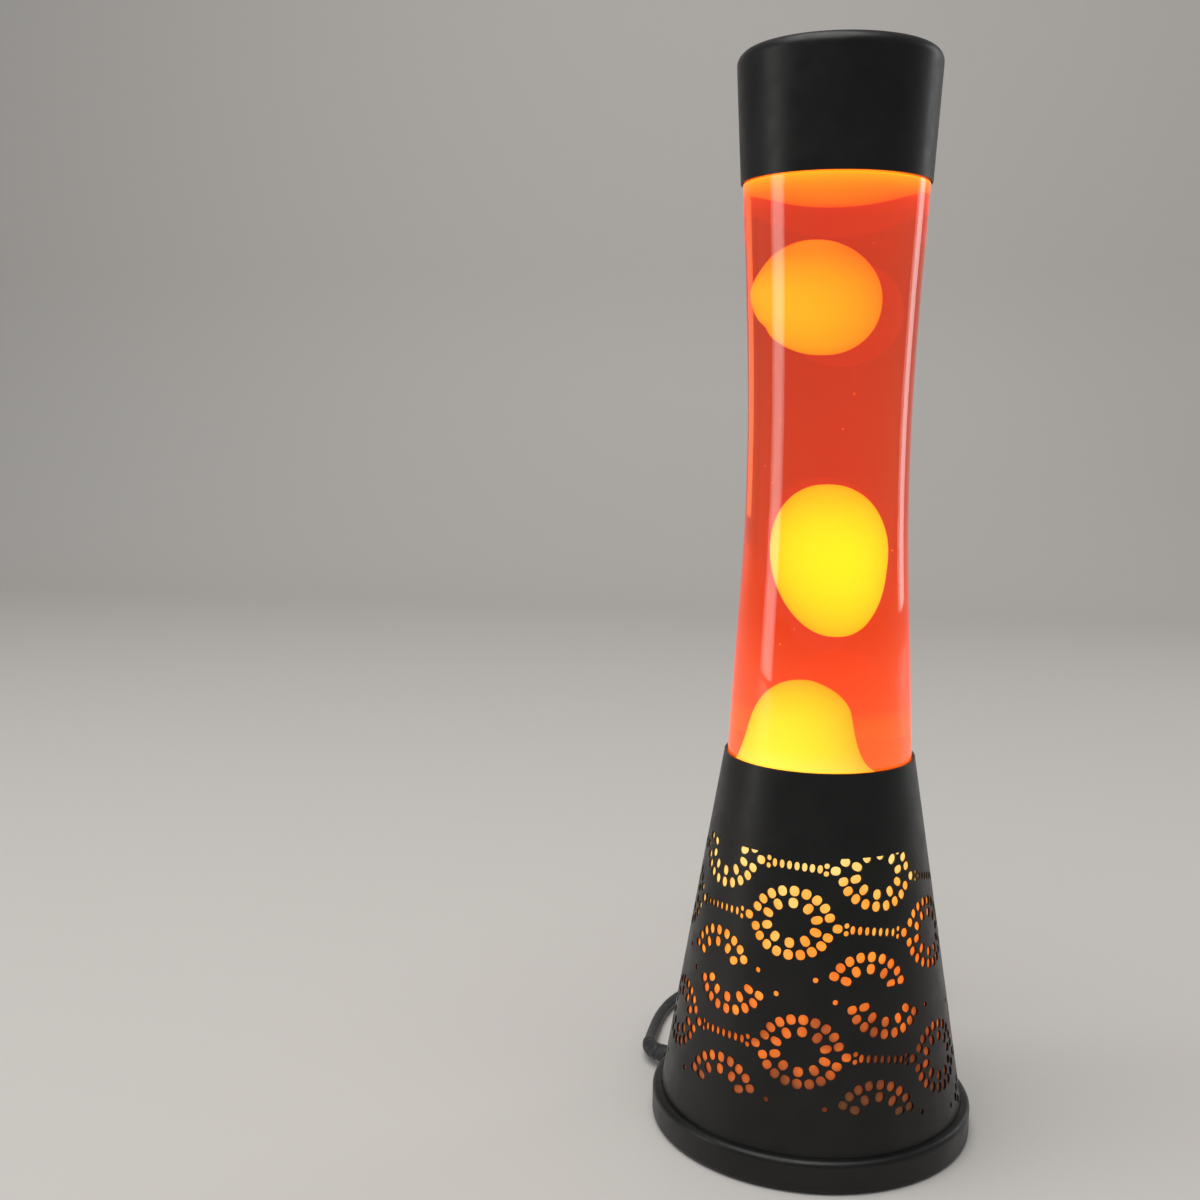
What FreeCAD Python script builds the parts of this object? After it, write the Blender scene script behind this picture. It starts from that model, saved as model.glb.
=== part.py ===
"""Wax lamp: perforated cone base, liquid-filled bottle, cap, mains cord with switch and plug.

Millimetres, +Z up, origin at the middle of the footprint on the table. The driving
dimensions sit in the spreadsheet; turned pieces are PartDesign bodies whose sections are
bound to it, and the other pieces are primitives, booleans or code-built shapes.
"""
import FreeCAD
import Part
import Sketcher
import math
import os

Vec = FreeCAD.Vector
UP = Vec(0, 0, 1)

DIMS = {
    # overall
    "total_height": 395.0,
    # cone base
    "cone_top": 143.7, "rim_radius": 35.25, "taper": 0.1648, "sheet": 0.8,
    "upper_top": 114.5, "sleeve_join": 69.0, "cone_bottom": 9.6,
    # foot
    "foot_radius": 60.4, "foot_top": 12.0, "foot_bottom": 1.2, "ledge_radius": 50.0,
    "cover_radius": 56.8, "cover_bottom": 1.9, "cover_top": 3.3, "pad_radius": 6.0,
    # bottle
    "bottle_bottom": 126.0, "bottle_wall": 2.2, "bottle_radius": 34.1,
    "neck_radius": 13.2, "neck_top": 392.9, "liquid_top": 347.5,
    # cap
    "cap_bottom": 350.1, "cap_low_radius": 33.85, "cap_top_radius": 36.3,
    "cap_wall": 0.55, "cap_crown": 0.8, "cap_round": 4.5,
    # holder plate and lamp holder
    "plate_height": 63.0, "plate_sheet": 1.0, "flange_top": 70.0, "holder_radius": 13.5,
    "holder_top": 70.0, "holder_bottom": 30.0, "holder_bore": 7.9,
    "holder_cap_bottom": 19.0, "nut_radius": 19.0,
    # reflector bulb
    "bulb_face": 112.0, "bulb_radius": 19.5, "bulb_cap_radius": 6.95, "bulb_glass": 0.8,
    # cord
    "cord_radius": 2.4, "gland_height": 6.4, "gland_angle": 155.0, "gland_radius": 3.1,
    "coil_x": 6.0, "coil_y": 175.0, "coil_inner": 17.6, "coil_outer": 40.4, "coil_height": 9.6,
    # cord switch and plug
    "switch_x": 4.0, "switch_y": 112.0, "switch_length": 60.0, "switch_width": 24.0,
    "switch_height": 17.0, "switch_wall": 1.6,
    "plug_x": -3.0, "plug_y": 226.5, "plug_thickness": 13.7, "plug_width": 35.3,
    "plug_length": 36.0, "plug_pin_length": 19.0, "plug_pin_radius": 2.0, "plug_pin_pitch": 18.6,
}

doc = FreeCAD.newDocument("wax_lamp")
pieces = []


# ---------------------------------------------------------------- document helpers

def make_sheet():
    sheet = doc.addObject("Spreadsheet::Sheet", "Dims")
    for row, (name, value) in enumerate(DIMS.items(), start=1):
        sheet.set("A%d" % row, name)
        sheet.set("B%d" % row, str(value))
        sheet.setAlias("B%d" % row, name)
    doc.recompute()


def d(name):
    return DIMS[name]


def sheet_names(expression):
    """Puts the sheet's name before each of its aliases in an expression."""
    words = str(expression)
    for name in sorted(DIMS, key=len, reverse=True):
        words = words.replace(name, "\0%d\0" % list(DIMS).index(name))
    for index, name in enumerate(DIMS):
        words = words.replace("\0%d\0" % index, "Dims." + name)
    return words


def value_of(expression):
    words = sheet_names(expression)
    for name in sorted(DIMS, key=len, reverse=True):
        words = words.replace("Dims." + name, repr(DIMS[name]))
    total = FreeCAD.Units.Quantity(words)
    return total.Value


def keep(item):
    """Lists an object as a finished piece; its Label names its file."""
    pieces.append(item)
    return item


def attach(sketch, body, role):
    plane = next(f for f in body.Origin.OriginFeatures if f.Role == role)
    sketch.AttachmentSupport = [(plane, "")]
    sketch.MapMode = "FlatFace"


def hold(sketch, index, axis, expression):
    """Fixes the start of edge index at an expression's distance along one sketch axis."""
    value = value_of(expression)
    if abs(value) < 1e-9:
        line = -2 if axis == "DistanceX" else -1
        sketch.addConstraint(Sketcher.Constraint("PointOnObject", index, 1, line))
        return
    place = sketch.addConstraint(Sketcher.Constraint(axis, -1, 1, index, 1, value))
    sketch.setExpression("Constraints[%d]" % place, sheet_names(expression))


def outline(sketch, points):
    """A closed outline of straight edges through (across, up) expressions."""
    spots = [Vec(value_of(x), value_of(y), 0) for x, y in points]
    count = len(spots)
    for index, spot in enumerate(spots):
        sketch.addGeometry(Part.LineSegment(spot, spots[(index + 1) % count]), False)
    for index in range(count):
        sketch.addConstraint(Sketcher.Constraint("Coincident", index, 2, (index + 1) % count, 1))
    for index, (across, up) in enumerate(points):
        hold(sketch, index, "DistanceX", across)
        hold(sketch, index, "DistanceY", up)


def turned(label, points):
    """A PartDesign body turned about Z from a section of (radius, height) expressions."""
    body = doc.addObject("PartDesign::Body", label)
    sketch = body.newObject("Sketcher::SketchObject", label + "_section")
    attach(sketch, body, "XZ_Plane")
    outline(sketch, points)
    turn = body.newObject("PartDesign::Revolution", label + "_turn")
    turn.Profile = sketch
    turn.ReferenceAxis = (sketch, ["V_Axis"])
    turn.Angle = 360
    body.Tip = turn
    doc.recompute()
    return body


def rounded(body, radius, chosen):
    """Fillets the circular edges of a body that the test picks by radius and height."""
    base = body.Tip
    names = []
    for number, edge in enumerate(base.Shape.Edges, start=1):
        curve = edge.Curve
        if isinstance(curve, Part.Circle) and chosen(curve.Radius, curve.Center.z):
            names.append("Edge%d" % number)
    fillet = body.newObject("PartDesign::Fillet", body.Label + "_round%d" % len(body.Group))
    fillet.Base = (base, names)
    fillet.Radius = value_of(radius)
    fillet.setExpression("Radius", sheet_names(radius))
    body.Tip = fillet
    doc.recompute()
    return body


def holes_round(body, radius, circle, count, height, start=0.0):
    """Cuts a ring of round holes upwards and downwards through a body."""
    base_volume = body.Shape.Volume
    sketch = body.newObject("Sketcher::SketchObject", body.Label + "_hole%d" % len(body.Group))
    attach(sketch, body, "XY_Plane")
    sketch.AttachmentOffset = FreeCAD.Placement(Vec(0, 0, height), FreeCAD.Rotation(UP, start))
    sketch.addGeometry(Part.Circle(Vec(circle, 0, 0), UP, radius), False)
    sketch.addConstraint(Sketcher.Constraint("Radius", 0, radius))
    sketch.addConstraint(Sketcher.Constraint("PointOnObject", 0, 3, -1))
    sketch.addConstraint(Sketcher.Constraint("DistanceX", -1, 1, 0, 3, circle))
    pocket = body.newObject("PartDesign::Pocket", body.Label + "_cut%d" % len(body.Group))
    pocket.Profile = sketch
    pocket.Type = 0
    pocket.Length = 40
    pocket.Midplane = True
    doc.recompute()
    pattern = body.newObject("PartDesign::PolarPattern", body.Label + "_ring%d" % len(body.Group))
    pattern.Originals = [pocket]
    pattern.Axis = (sketch, ["N_Axis"])
    pattern.Angle = 360
    pattern.Occurrences = count
    body.Tip = pattern
    doc.recompute()
    if body.Shape.Volume > base_volume - 1.0:
        raise RuntimeError("no hole was cut in " + body.Label)
    return body


def cylinder(label, radius, height, place):
    """A round bar with its radius and height bound to the sheet."""
    item = doc.addObject("Part::Cylinder", label)
    item.setExpression("Radius", sheet_names(radius))
    item.setExpression("Height", sheet_names(height))
    item.Placement = place
    return item


def minus(label, base, tool):
    item = doc.addObject("Part::Cut", label)
    item.Base = base
    item.Tool = tool
    return item


def solid(label, shape):
    """A piece whose shape is made in code."""
    item = doc.addObject("Part::Feature", label)
    item.Shape = shape
    return item


def at(x=0.0, y=0.0, z=0.0, rotation=None):
    return FreeCAD.Placement(Vec(x, y, z), rotation or FreeCAD.Rotation())


def spun(edges):
    """Turns a closed section in the XZ plane about Z."""
    face = Part.Face(Part.Wire(Part.__sortEdges__(edges)))
    return face.revolve(Vec(0, 0, 0), UP, 360)


def smooth(points):
    curve = Part.BSplineCurve()
    curve.interpolate([Vec(radius, 0, height) for radius, height in points])
    return curve.toShape()


def straight(points):
    spots = [Vec(radius, 0, height) for radius, height in points]
    return [Part.LineSegment(a, b).toShape() for a, b in zip(spots, spots[1:])]


# ---------------------------------------------------------------- cone base

def cone(height, inset):
    """Radius expression of the cone's outer face at a height, moved inwards."""
    return "rim_radius + (cone_top - (%s)) * taper - (%s)" % (height, inset)


def cone_band(label, low, high, inset, thickness):
    return turned(label, [(cone(low, inset + " + " + thickness), low), (cone(low, inset), low),
                          (cone(high, inset), high),
                          (cone(high, inset + " + " + thickness), high)])


# The pattern is a flat sheet rolled into the cone: columns stand every column_pitch along a
# row, rows every row_pitch, and alternate rows are shifted by half a column. Flat positions
# are (along, down) from the line of the sheet's middle, down measured from the cone's apex.
COLUMN_PITCH = 60.2
ROW_PITCH = 20.0
SHEET_MIDDLE = -25.0
FLAT_SINE = math.sin(math.atan(DIMS["taper"]))
INNER_CELLS = 10
OUTER_CELLS = 20
INNER_OVAL = (9.3, 7.0)
OUTER_OVAL = (13.95, 11.2)
TIP_REACH = 16.4
BEADS = 7
BEAD_REACH = 8.2
CELL_SIZE = (1.66, 1.78)
INNER_STRETCH = (-0.26, 0.26)
OUTER_STRETCH = (-0.18, -0.02)
BEAD_SIZE = (0.95, 1.5)
DOT_SIZE = (0.95, 0.95)
SEAM_MARGIN = 3.0


def cell_size(stretch, turn):
    """Half width and half height of a ring's cell; stretch is added at the ring's ends."""
    share = abs(math.cos(turn))
    return CELL_SIZE[0] + stretch[0] * share, CELL_SIZE[1] + stretch[1] * share


def ring_cells():
    """One ring of the pattern: (along, down, half width, half height, turn) of each cell."""
    cells = []
    for index in range(INNER_CELLS):
        turn = math.radians(90 + 360 * index / INNER_CELLS)
        cells.append((INNER_OVAL[0] * math.cos(turn), -INNER_OVAL[1] * math.sin(turn),
                      *cell_size(INNER_STRETCH, turn), turn))
    for index in range(OUTER_CELLS):
        turn = math.radians(90 + 360 * index / OUTER_CELLS)
        across = TIP_REACH if index % (OUTER_CELLS // 2) == OUTER_CELLS // 4 else OUTER_OVAL[0]
        cells.append((across * math.cos(turn), -OUTER_OVAL[1] * math.sin(turn),
                      *cell_size(OUTER_STRETCH, turn), turn))
    return cells


def chain_cells():
    """The beads between a ring and the next one along its row."""
    middle = COLUMN_PITCH / 2
    cells = []
    for index in range(BEADS):
        along = middle + BEAD_REACH * (2 * index / (BEADS - 1) - 1)
        cells.append((along, 0.0, *BEAD_SIZE, math.pi / 2))
    for side in (-1, 1):
        for lift in (-1.35, 1.35):
            cells.append((middle + side * (BEAD_REACH + 2.3), lift, *DOT_SIZE, 0.0))
    return cells


def strip_cells(along0, down0, rows, low, high):
    """Cells of one strip, as (azimuth, height, half width, half height, turn).

    rows lists (row number, test on the cell's place below the row's line).
    """
    cells = []
    for row, wanted in rows:
        shift = COLUMN_PITCH / 2 if row % 2 else 0.0
        for column in range(-4, 5):
            for along, down, wide, tall, turn in ring_cells() + chain_cells():
                if not wanted(down):
                    continue
                flat_x = along0 + shift + column * COLUMN_PITCH + along
                flat_y = down0 + row * ROW_PITCH + down
                slant = math.hypot(flat_x, flat_y)
                angle = math.atan2(flat_x, flat_y)
                if abs(angle) > math.pi * FLAT_SINE - SEAM_MARGIN / slant:
                    continue
                azimuth = math.degrees(angle) / FLAT_SINE + SHEET_MIDDLE
                height = d("cone_top") - (slant * FLAT_SINE - d("rim_radius")) / d("taper")
                if low < height < high:
                    cells.append((azimuth, height, wide, tall, turn + angle))
    return cells


def slant_at(height):
    return (d("rim_radius") + (d("cone_top") - height) * d("taper")) / FLAT_SINE


def flat_place(azimuth, height):
    """Flat position of a point of the cone given by azimuth from the front and height."""
    angle = math.radians(azimuth - SHEET_MIDDLE) * FLAT_SINE
    slant = slant_at(height)
    return slant * math.sin(angle), slant * math.cos(angle)


def punch(azimuth, height, wide, tall, turn):
    """An eight-sided punch standing square to the cone's face."""
    radius = d("rim_radius") + (d("cone_top") - height) * d("taper")
    side = math.radians(azimuth)
    out = Vec(math.sin(side), -math.cos(side), 0)
    normal = out * math.cos(math.atan(d("taper"))) + UP * FLAT_SINE
    across = UP.cross(out)
    upward = normal.cross(across)
    radial = across * math.cos(turn) + upward * math.sin(turn)
    tangent = upward * math.cos(turn) - across * math.sin(turn)
    middle = out * radius + UP * height - normal * (d("sheet") + 0.6)
    corners = []
    for index in range(8):
        step = math.radians(45 * index + 22.5)
        corners.append(middle + tangent * (1.06 * wide * math.cos(step))
                       + radial * (1.06 * tall * math.sin(step)))
    return Part.Face(Part.makePolygon(corners + corners[:1])).extrude(normal * (d("sheet") + 1.8))


def perforated(label, low, high, cells):
    band = cone_band(label + "_blank", low, high, "0", "sheet")
    punches = doc.addObject("Part::Feature", label + "_punches")
    punches.Shape = Part.makeCompound([punch(*cell) for cell in cells])
    return minus(label, band, punches)


def cone_base():
    keep(cone_band("shade_collar", "upper_top", "cone_top", "0", "sheet"))
    along, down = flat_place(-10.3, 91.6)
    upper_rows = ((-1, lambda y: True), (0, lambda y: True), (1, lambda y: y < -1.0))
    cells = strip_cells(along, down, upper_rows, d("sleeve_join") - 2.0, d("upper_top") + 1.5)
    keep(perforated("fret_sleeve_upper", "sleeve_join", "upper_top", cells))
    along, down = flat_place(-3.8, 47.7)
    lower_rows = ((-1, lambda y: y > 1.0), (0, lambda y: True), (1, lambda y: y < -1.0))
    cells = strip_cells(along, down, lower_rows, 14.0, 67.0)
    keep(perforated("fret_sleeve_lower", "cone_bottom", "sleeve_join", cells))
    keep(cone_band("diffuser_upper", "flange_top + 0.6", "upper_top + 5", "sheet + 0.12", "0.4"))
    keep(cone_band("diffuser_lower", "foot_top + 2", "flange_top + 0.3", "sheet + 0.12", "0.4"))


def foot():
    ring = turned("foot_ring_blank", [
        ("ledge_radius", "cover_top"), ("cover_radius + 0.15", "cover_top"),
        ("cover_radius + 0.15", "foot_bottom"), ("foot_radius", "foot_bottom"),
        ("foot_radius", "foot_top"), (cone("foot_top", "-0.1"), "foot_top"),
        (cone("cone_bottom", "-0.1"), "cone_bottom"), ("ledge_radius", "cone_bottom")])
    rounded(ring, "2.2", lambda r, z: abs(z - d("foot_top")) < 0.01 and r > 60)
    rounded(ring, "0.6", lambda r, z: abs(z - d("foot_bottom")) < 0.01 and r > 60)
    holes_round(ring, 1.3, 53.3, 3, 3.3 - 20 + 4.4, 105.0)
    out = Vec(math.cos(math.radians(d("gland_angle"))), math.sin(math.radians(d("gland_angle"))), 0)
    tunnel = cylinder("gland_hole", "gland_radius + 0.02", "20",
                      FreeCAD.Placement(out * 46 + UP * d("gland_height"), FreeCAD.Rotation(UP, out)))
    keep(minus("foot_ring", ring, tunnel))

    cover = turned("bottom_cover", [("0", "cover_bottom"), ("cover_radius", "cover_bottom"),
                                    ("cover_radius", "cover_top"), ("0", "cover_top")])
    holes_round(cover, 1.7, 53.3, 3, 2.5, 105.0)
    holes_round(cover, 2.6, 22.0, 8, 2.5)
    holes_round(cover, 2.6, 32.0, 12, 2.5)
    keep(cover)

    screws = []
    pads = []
    for index in range(3):
        turn = math.radians(105 + 120 * index)
        spot = Vec(53.3 * math.cos(turn), 53.3 * math.sin(turn), 0)
        head = Part.makeCylinder(2.7, 1.3, spot + UP * (d("cover_bottom") - 1.3))
        slot = Part.makeBox(5.6, 0.6, 0.6, spot + Vec(-2.8, -0.3, d("cover_bottom") - 1.3))
        shank = Part.makeCylinder(1.25, 5.4, spot + UP * (d("cover_bottom") - 0.2))
        screws.append(head.fuse(shank).cut(slot))
    for index in range(4):
        turn = math.radians(90 * index)
        spot = Vec(43.5 * math.cos(turn), 43.5 * math.sin(turn), 0)
        pad = Part.makeCylinder(d("pad_radius"), d("cover_bottom"), spot)
        rim = [edge for edge in pad.Edges if abs(edge.BoundBox.ZMax) < 0.01]
        pads.append(pad.makeChamfer(0.4, rim))
    keep(solid("cover_screws", Part.makeCompound(screws)))
    keep(solid("rubber_pads", Part.makeCompound(pads)))


# ---------------------------------------------------------------- bottle seat, plate and holder

def seat():
    keep(turned("bottle_seat", [
        ("25", "bottle_bottom - 3"), (cone("bottle_bottom - 3", "sheet + 0.1"), "bottle_bottom - 3"),
        (cone("bottle_bottom + 5", "sheet + 0.1"), "bottle_bottom + 5"),
        (cone("bottle_bottom + 5", "sheet + 1.0"), "bottle_bottom + 5"),
        (cone("bottle_bottom - 2", "sheet + 1.0"), "bottle_bottom - 2"),
        ("25", "bottle_bottom - 2")]))
    keep(turned("seat_gasket", [("26.5", "bottle_bottom - 2"), ("31.5", "bottle_bottom - 2"),
                                ("31.5", "bottle_bottom - 0.05"), ("26.5", "bottle_bottom - 0.05")]))


def holder_plate():
    plate = turned("holder_plate", [
        ("holder_radius + 0.2", "plate_height"), (cone("plate_height", "sheet + 0.55"), "plate_height"),
        (cone("flange_top", "sheet + 0.55"), "flange_top"),
        (cone("flange_top", "sheet + 0.5 + plate_sheet"), "flange_top"),
        (cone("plate_height + plate_sheet", "sheet + 0.5 + plate_sheet"), "plate_height + plate_sheet"),
        ("holder_radius + 0.2", "plate_height + plate_sheet")])
    holes_round(plate, 6.5, 31.5, 8, d("plate_height"))
    keep(plate)
    low, high = d("plate_height") - 4.0, d("plate_height") + d("plate_sheet")
    nuts = []
    for bottom in (low, high):
        nut = Part.makeCylinder(d("nut_radius"), 4.0, Vec(0, 0, bottom))
        nut = nut.cut(Part.makeCylinder(d("holder_radius"), 4.0, Vec(0, 0, bottom)))
        for index in range(24):
            turn = math.radians(15 * index)
            spot = Vec(math.cos(turn), math.sin(turn), 0) * d("nut_radius") + UP * bottom
            nut = nut.cut(Part.makeCylinder(0.7, 4.0, spot))
        nuts.append(nut)
    keep(solid("holder_ring_nuts", Part.makeCompound(nuts)))


def lamp_holder():
    keep(turned("holder_body", [
        ("0", "holder_bottom"), ("holder_radius", "holder_bottom"), ("holder_radius", "holder_top"),
        ("holder_bore", "holder_top"), ("holder_bore", "holder_bottom + 12"),
        ("0", "holder_bottom + 12")]))
    keep(turned("holder_thread", [
        ("bulb_cap_radius + 0.1", "holder_bottom + 20"), ("holder_bore - 0.02", "holder_bottom + 20"),
        ("holder_bore - 0.02", "holder_top - 4"), ("bulb_cap_radius + 0.1", "holder_top - 4")]))
    keep(turned("holder_contact", [
        ("0", "holder_bottom + 12"), ("4", "holder_bottom + 12"), ("4", "holder_bottom + 13"),
        ("2", "holder_bottom + 14.8"), ("0", "holder_bottom + 14.8")]))
    cap = turned("holder_cap", [
        ("4.2", "holder_cap_bottom"), ("holder_radius - 3", "holder_cap_bottom"),
        ("holder_radius", "holder_cap_bottom + 4"), ("holder_radius", "holder_bottom - 0.05"),
        ("holder_radius - 2", "holder_bottom - 0.05"), ("holder_radius - 2", "holder_cap_bottom + 3"),
        ("4.2", "holder_cap_bottom + 3")])
    keep(cap)


def bulb():
    face, radius, wall = d("bulb_face"), d("bulb_radius"), d("bulb_glass")
    neck = 67.0

    def envelope(inset):
        return [(7.4 - inset, neck), (8.2 - inset, neck + 5), (13.0 - inset, neck + 15),
                (17.8 - inset, neck + 25), (radius - inset, neck + 33)]

    def dome(inset):
        return [(radius - inset, neck + 33), (radius - 1.2 - inset, neck + 38.5),
                (radius - 6.5, face - 1.8 - inset), (0.0, face - inset)]

    outer = [smooth(envelope(0)), smooth(dome(0))]
    inner = [smooth(envelope(wall)), smooth(dome(wall))]
    ends = straight([(0.0, face), (0.0, face - wall)]) + straight([(7.4, neck), (7.4 - wall, neck)])
    keep(solid("bulb_glass", spun(outer + inner + ends)))
    thread = [("0", "49.5"), ("5.2", "49.5"), ("bulb_cap_radius - 0.5", "51.0")]
    for index in range(4):
        base = 52.0 + 2.82 * index
        thread += [("bulb_cap_radius", "%.2f" % (base + 0.7)),
                   ("bulb_cap_radius - 0.5", "%.2f" % (base + 2.1))]
    thread += [("bulb_cap_radius - 0.5", "66.95"), ("0", "66.95")]
    keep(turned("bulb_screw_cap", thread))
    keep(turned("bulb_insulator", [("0", "46.6"), ("2.6", "46.6"), ("5.2", "49.45"), ("0", "49.45")]))
    keep(turned("bulb_contact", [("0", "44.9"), ("1.6", "44.9"), ("2.4", "46.55"), ("0", "46.55")]))
    stem = Part.makeCylinder(2.2, 14.0, Vec(0, 0, neck + 0.05))
    wires = [Part.makeCylinder(0.35, 11.0, Vec(side * 1.4, 0, neck + 13), Vec(side * 0.45, 0, 1))
             for side in (-1, 1)]
    keep(solid("bulb_stem", stem.fuse(wires)))
    arc = Part.Arc(Vec(-6.1, 0, neck + 23.4), Vec(0, 0, neck + 26.0), Vec(6.1, 0, neck + 23.4))
    start = Part.Wire([Part.Circle(Vec(-6.1, 0, neck + 23.4), Vec(0.66, 0, 0.75), 0.3).toShape()])
    keep(solid("bulb_filament", Part.Wire([arc.toShape()]).makePipeShell([start], True, True)))


# ---------------------------------------------------------------- bottle, closure and cap

def bottle_outline(inset, bottom):
    """Curved side of the bottle from the bottom corner to the root of the neck."""
    radius = d("bottle_radius")
    side = [(radius - 0.3, bottom + 12), (radius, 143.7), (31.95, 185.0), (29.85, 226.3),
            (29.55, 267.6), (30.95, 308.8), (32.75, 343.0), (32.6, 352.0), (28.6, 363.0),
            (20.0, 371.0), (14.6, 376.0), (d("neck_radius"), 382.0)]
    return [(across - inset, height) for across, height in side]


def bottle():
    low, wall, neck = d("bottle_bottom"), d("bottle_wall"), d("neck_radius")
    outer = bottle_outline(0, low)
    inner = bottle_outline(wall, low)
    corner = 7.0
    foot_out = smooth([(outer[0][0] - corner, low), (outer[0][0] - 1.6, low + 3.2), outer[0]])
    foot_in = smooth([(inner[0][0] - corner, low + wall), (inner[0][0] - 1.6, low + wall + 2.8), inner[0]])
    top = d("neck_top")
    edges = [smooth(outer), smooth(inner), foot_out, foot_in]
    edges += straight([(outer[0][0] - corner, low), (0.0, low + 0.8), (0.0, low + wall + 0.8),
                       (inner[0][0] - corner, low + wall)])
    edges += straight([outer[-1], (neck, top - 4), (neck + 0.6, top - 3), (neck + 0.6, top - 0.8),
                       (neck, top), (neck - wall, top), inner[-1]])
    keep(solid("glass_bottle", spun(edges)))


def egg(bottom, top, widest, radius, lean, grow=0.0):
    """A wax bulb turned about its own upright axis; grow swells it all round."""
    low, high, wide = bottom - grow, top + grow, radius + grow
    lower = smooth([(0.0, low), (wide * 0.62, low + (widest - low) * 0.24), (wide, widest)])
    upper = smooth([(wide, widest), (wide * 0.66, high - (high - widest) * 0.26), (0.0, high)])
    shape = spun([lower, upper] + straight([(0.0, high), (0.0, low)]))
    shape.translate(Vec(lean, 0, 0))
    return shape


def wax_middle(grow=0.0):
    return egg(187.8, 243.9, 222.0, 15.8, 1.6, grow)


def wax_upper(grow=0.0):
    return egg(289.8, 330.6, 310.5, 17.2, -4.4, grow)


def wax_lens():
    return egg(341.9, d("liquid_top") - 0.1, 345.5, 14.6, 0.9)


def wax_mound():
    floor = d("bottle_bottom") + d("bottle_wall") + 0.9
    dome = spun([smooth([(21.0, floor + 8.0), (19.0, 146.0), (14.5, 159.5), (7.8, 167.6), (0.0, 170.3)])]
                + straight([(0.0, 170.3), (0.0, floor), (24.0, floor), (21.0, floor + 8.0)]))
    dome.translate(Vec(-4.0, 0, 0))
    pool = Part.makeCone(22.0, 29.6, 4.0, Vec(0, 0, floor))
    pool = pool.fuse(Part.makeCylinder(29.6, 4.0, Vec(0, 0, floor + 4.0)))
    return dome.fuse(pool).removeSplitter().cut(coil_ring(0.1))


def coil_ring(grow=0.0):
    """Ring of closely wound wire on the bottle's floor, as its outer shape."""
    tube = 2.0
    centre = d("bottle_bottom") + d("bottle_wall") + 3.4
    return Part.makeTorus(24.5, tube + grow, Vec(0, 0, centre))


def contents():
    low, wall = d("bottle_bottom"), d("bottle_wall") + 0.05
    top = d("liquid_top")
    side = [point for point in bottle_outline(wall, low) if point[1] < top - 2]
    side.append((32.7 - wall, top))
    corner = 7.0
    foot_in = smooth([(side[0][0] - corner, low + wall), (side[0][0] - 1.6, low + wall + 2.8), side[0]])
    edges = [smooth(side), foot_in]
    edges += straight([side[-1], (0.0, top), (0.0, low + wall + 0.8), (side[0][0] - corner, low + wall)])
    liquid = spun(edges)
    for shape in (wax_middle(0.35), wax_upper(0.35), wax_lens(), wax_mound(), coil_ring()):
        liquid = liquid.cut(shape)
    keep(solid("liquid", liquid))
    keep(solid("wax_mound", wax_mound()))
    keep(solid("wax_blob_middle", wax_middle()))
    keep(solid("wax_blob_upper", wax_upper()))
    keep(solid("wax_lens", wax_lens()))
    keep(solid("coil_ring", coil_ring()))


def closure_and_cap():
    keep(turned("crown_closure", [
        ("neck_radius + 2.6", "neck_top - 4.7"), ("neck_radius + 3.0", "neck_top - 4.7"),
        ("neck_radius + 1.1", "neck_top + 0.3"), ("neck_radius + 0.4", "neck_top + 1.1"),
        ("0", "neck_top + 1.1"), ("0", "neck_top + 0.75"), ("neck_radius + 0.25", "neck_top + 0.75"),
        ("neck_radius + 0.75", "neck_top + 0.1")]))
    keep(cylinder("closure_seal", "neck_radius - 0.2", "0.7", at(z=d("neck_top") + 0.02)))
    cap = turned("top_cap", [
        ("cap_low_radius", "cap_bottom"), ("cap_top_radius", "total_height"), ("0", "total_height"),
        ("0", "total_height - cap_crown"), ("cap_top_radius - cap_wall", "total_height - cap_crown"),
        ("cap_low_radius - cap_wall", "cap_bottom")])
    rounded(cap, "cap_round", lambda r, z: abs(z - d("total_height")) < 0.01)
    rounded(cap, "cap_round - cap_wall",
            lambda r, z: abs(z - d("total_height") + d("cap_crown")) < 0.01 and r > 30)
    keep(cap)


# ---------------------------------------------------------------- cord, switch and plug

CORD_LAMP_TO_SWITCH = [
    (-57.1, 26.63, 6.4), (-61.8, 28.82, 6.35), (-65.2, 32.5, 6.0), (-66.9, 38.4, 5.0),
    (-67.4, 46.8, 3.7), (-67.3, 57.8, 2.6), (-66.8, 69.5, 2.45), (-65.1, 81.6, 2.45),
    (-61.6, 93.3, 2.45), (-56.0, 102.6, 2.9), (-48.7, 108.9, 4.2), (-40.3, 111.9, 6.2),
    (-31.0, 112.4, 7.7), (-22.0, 112.0, 8.0)]
CORD_SWITCH_TO_COIL = [
    (30.0, 112.0, 8.0), (38.5, 112.5, 7.7), (46.4, 116.4, 6.8), (51.8, 124.6, 5.0),
    (54.0, 136.0, 3.1), (52.2, 149.0, 2.45), (48.0, 159.5, 2.45), (45.0, 167.5, 2.45)]
CORD_COIL_TO_PLUG = [
    (24.5, 207.8, 7.2), (16.6, 213.4, 7.3), (8.0, 219.4, 7.1), (-2.4, 224.8, 6.9), (-12.0, 226.5, 6.85)]


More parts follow.
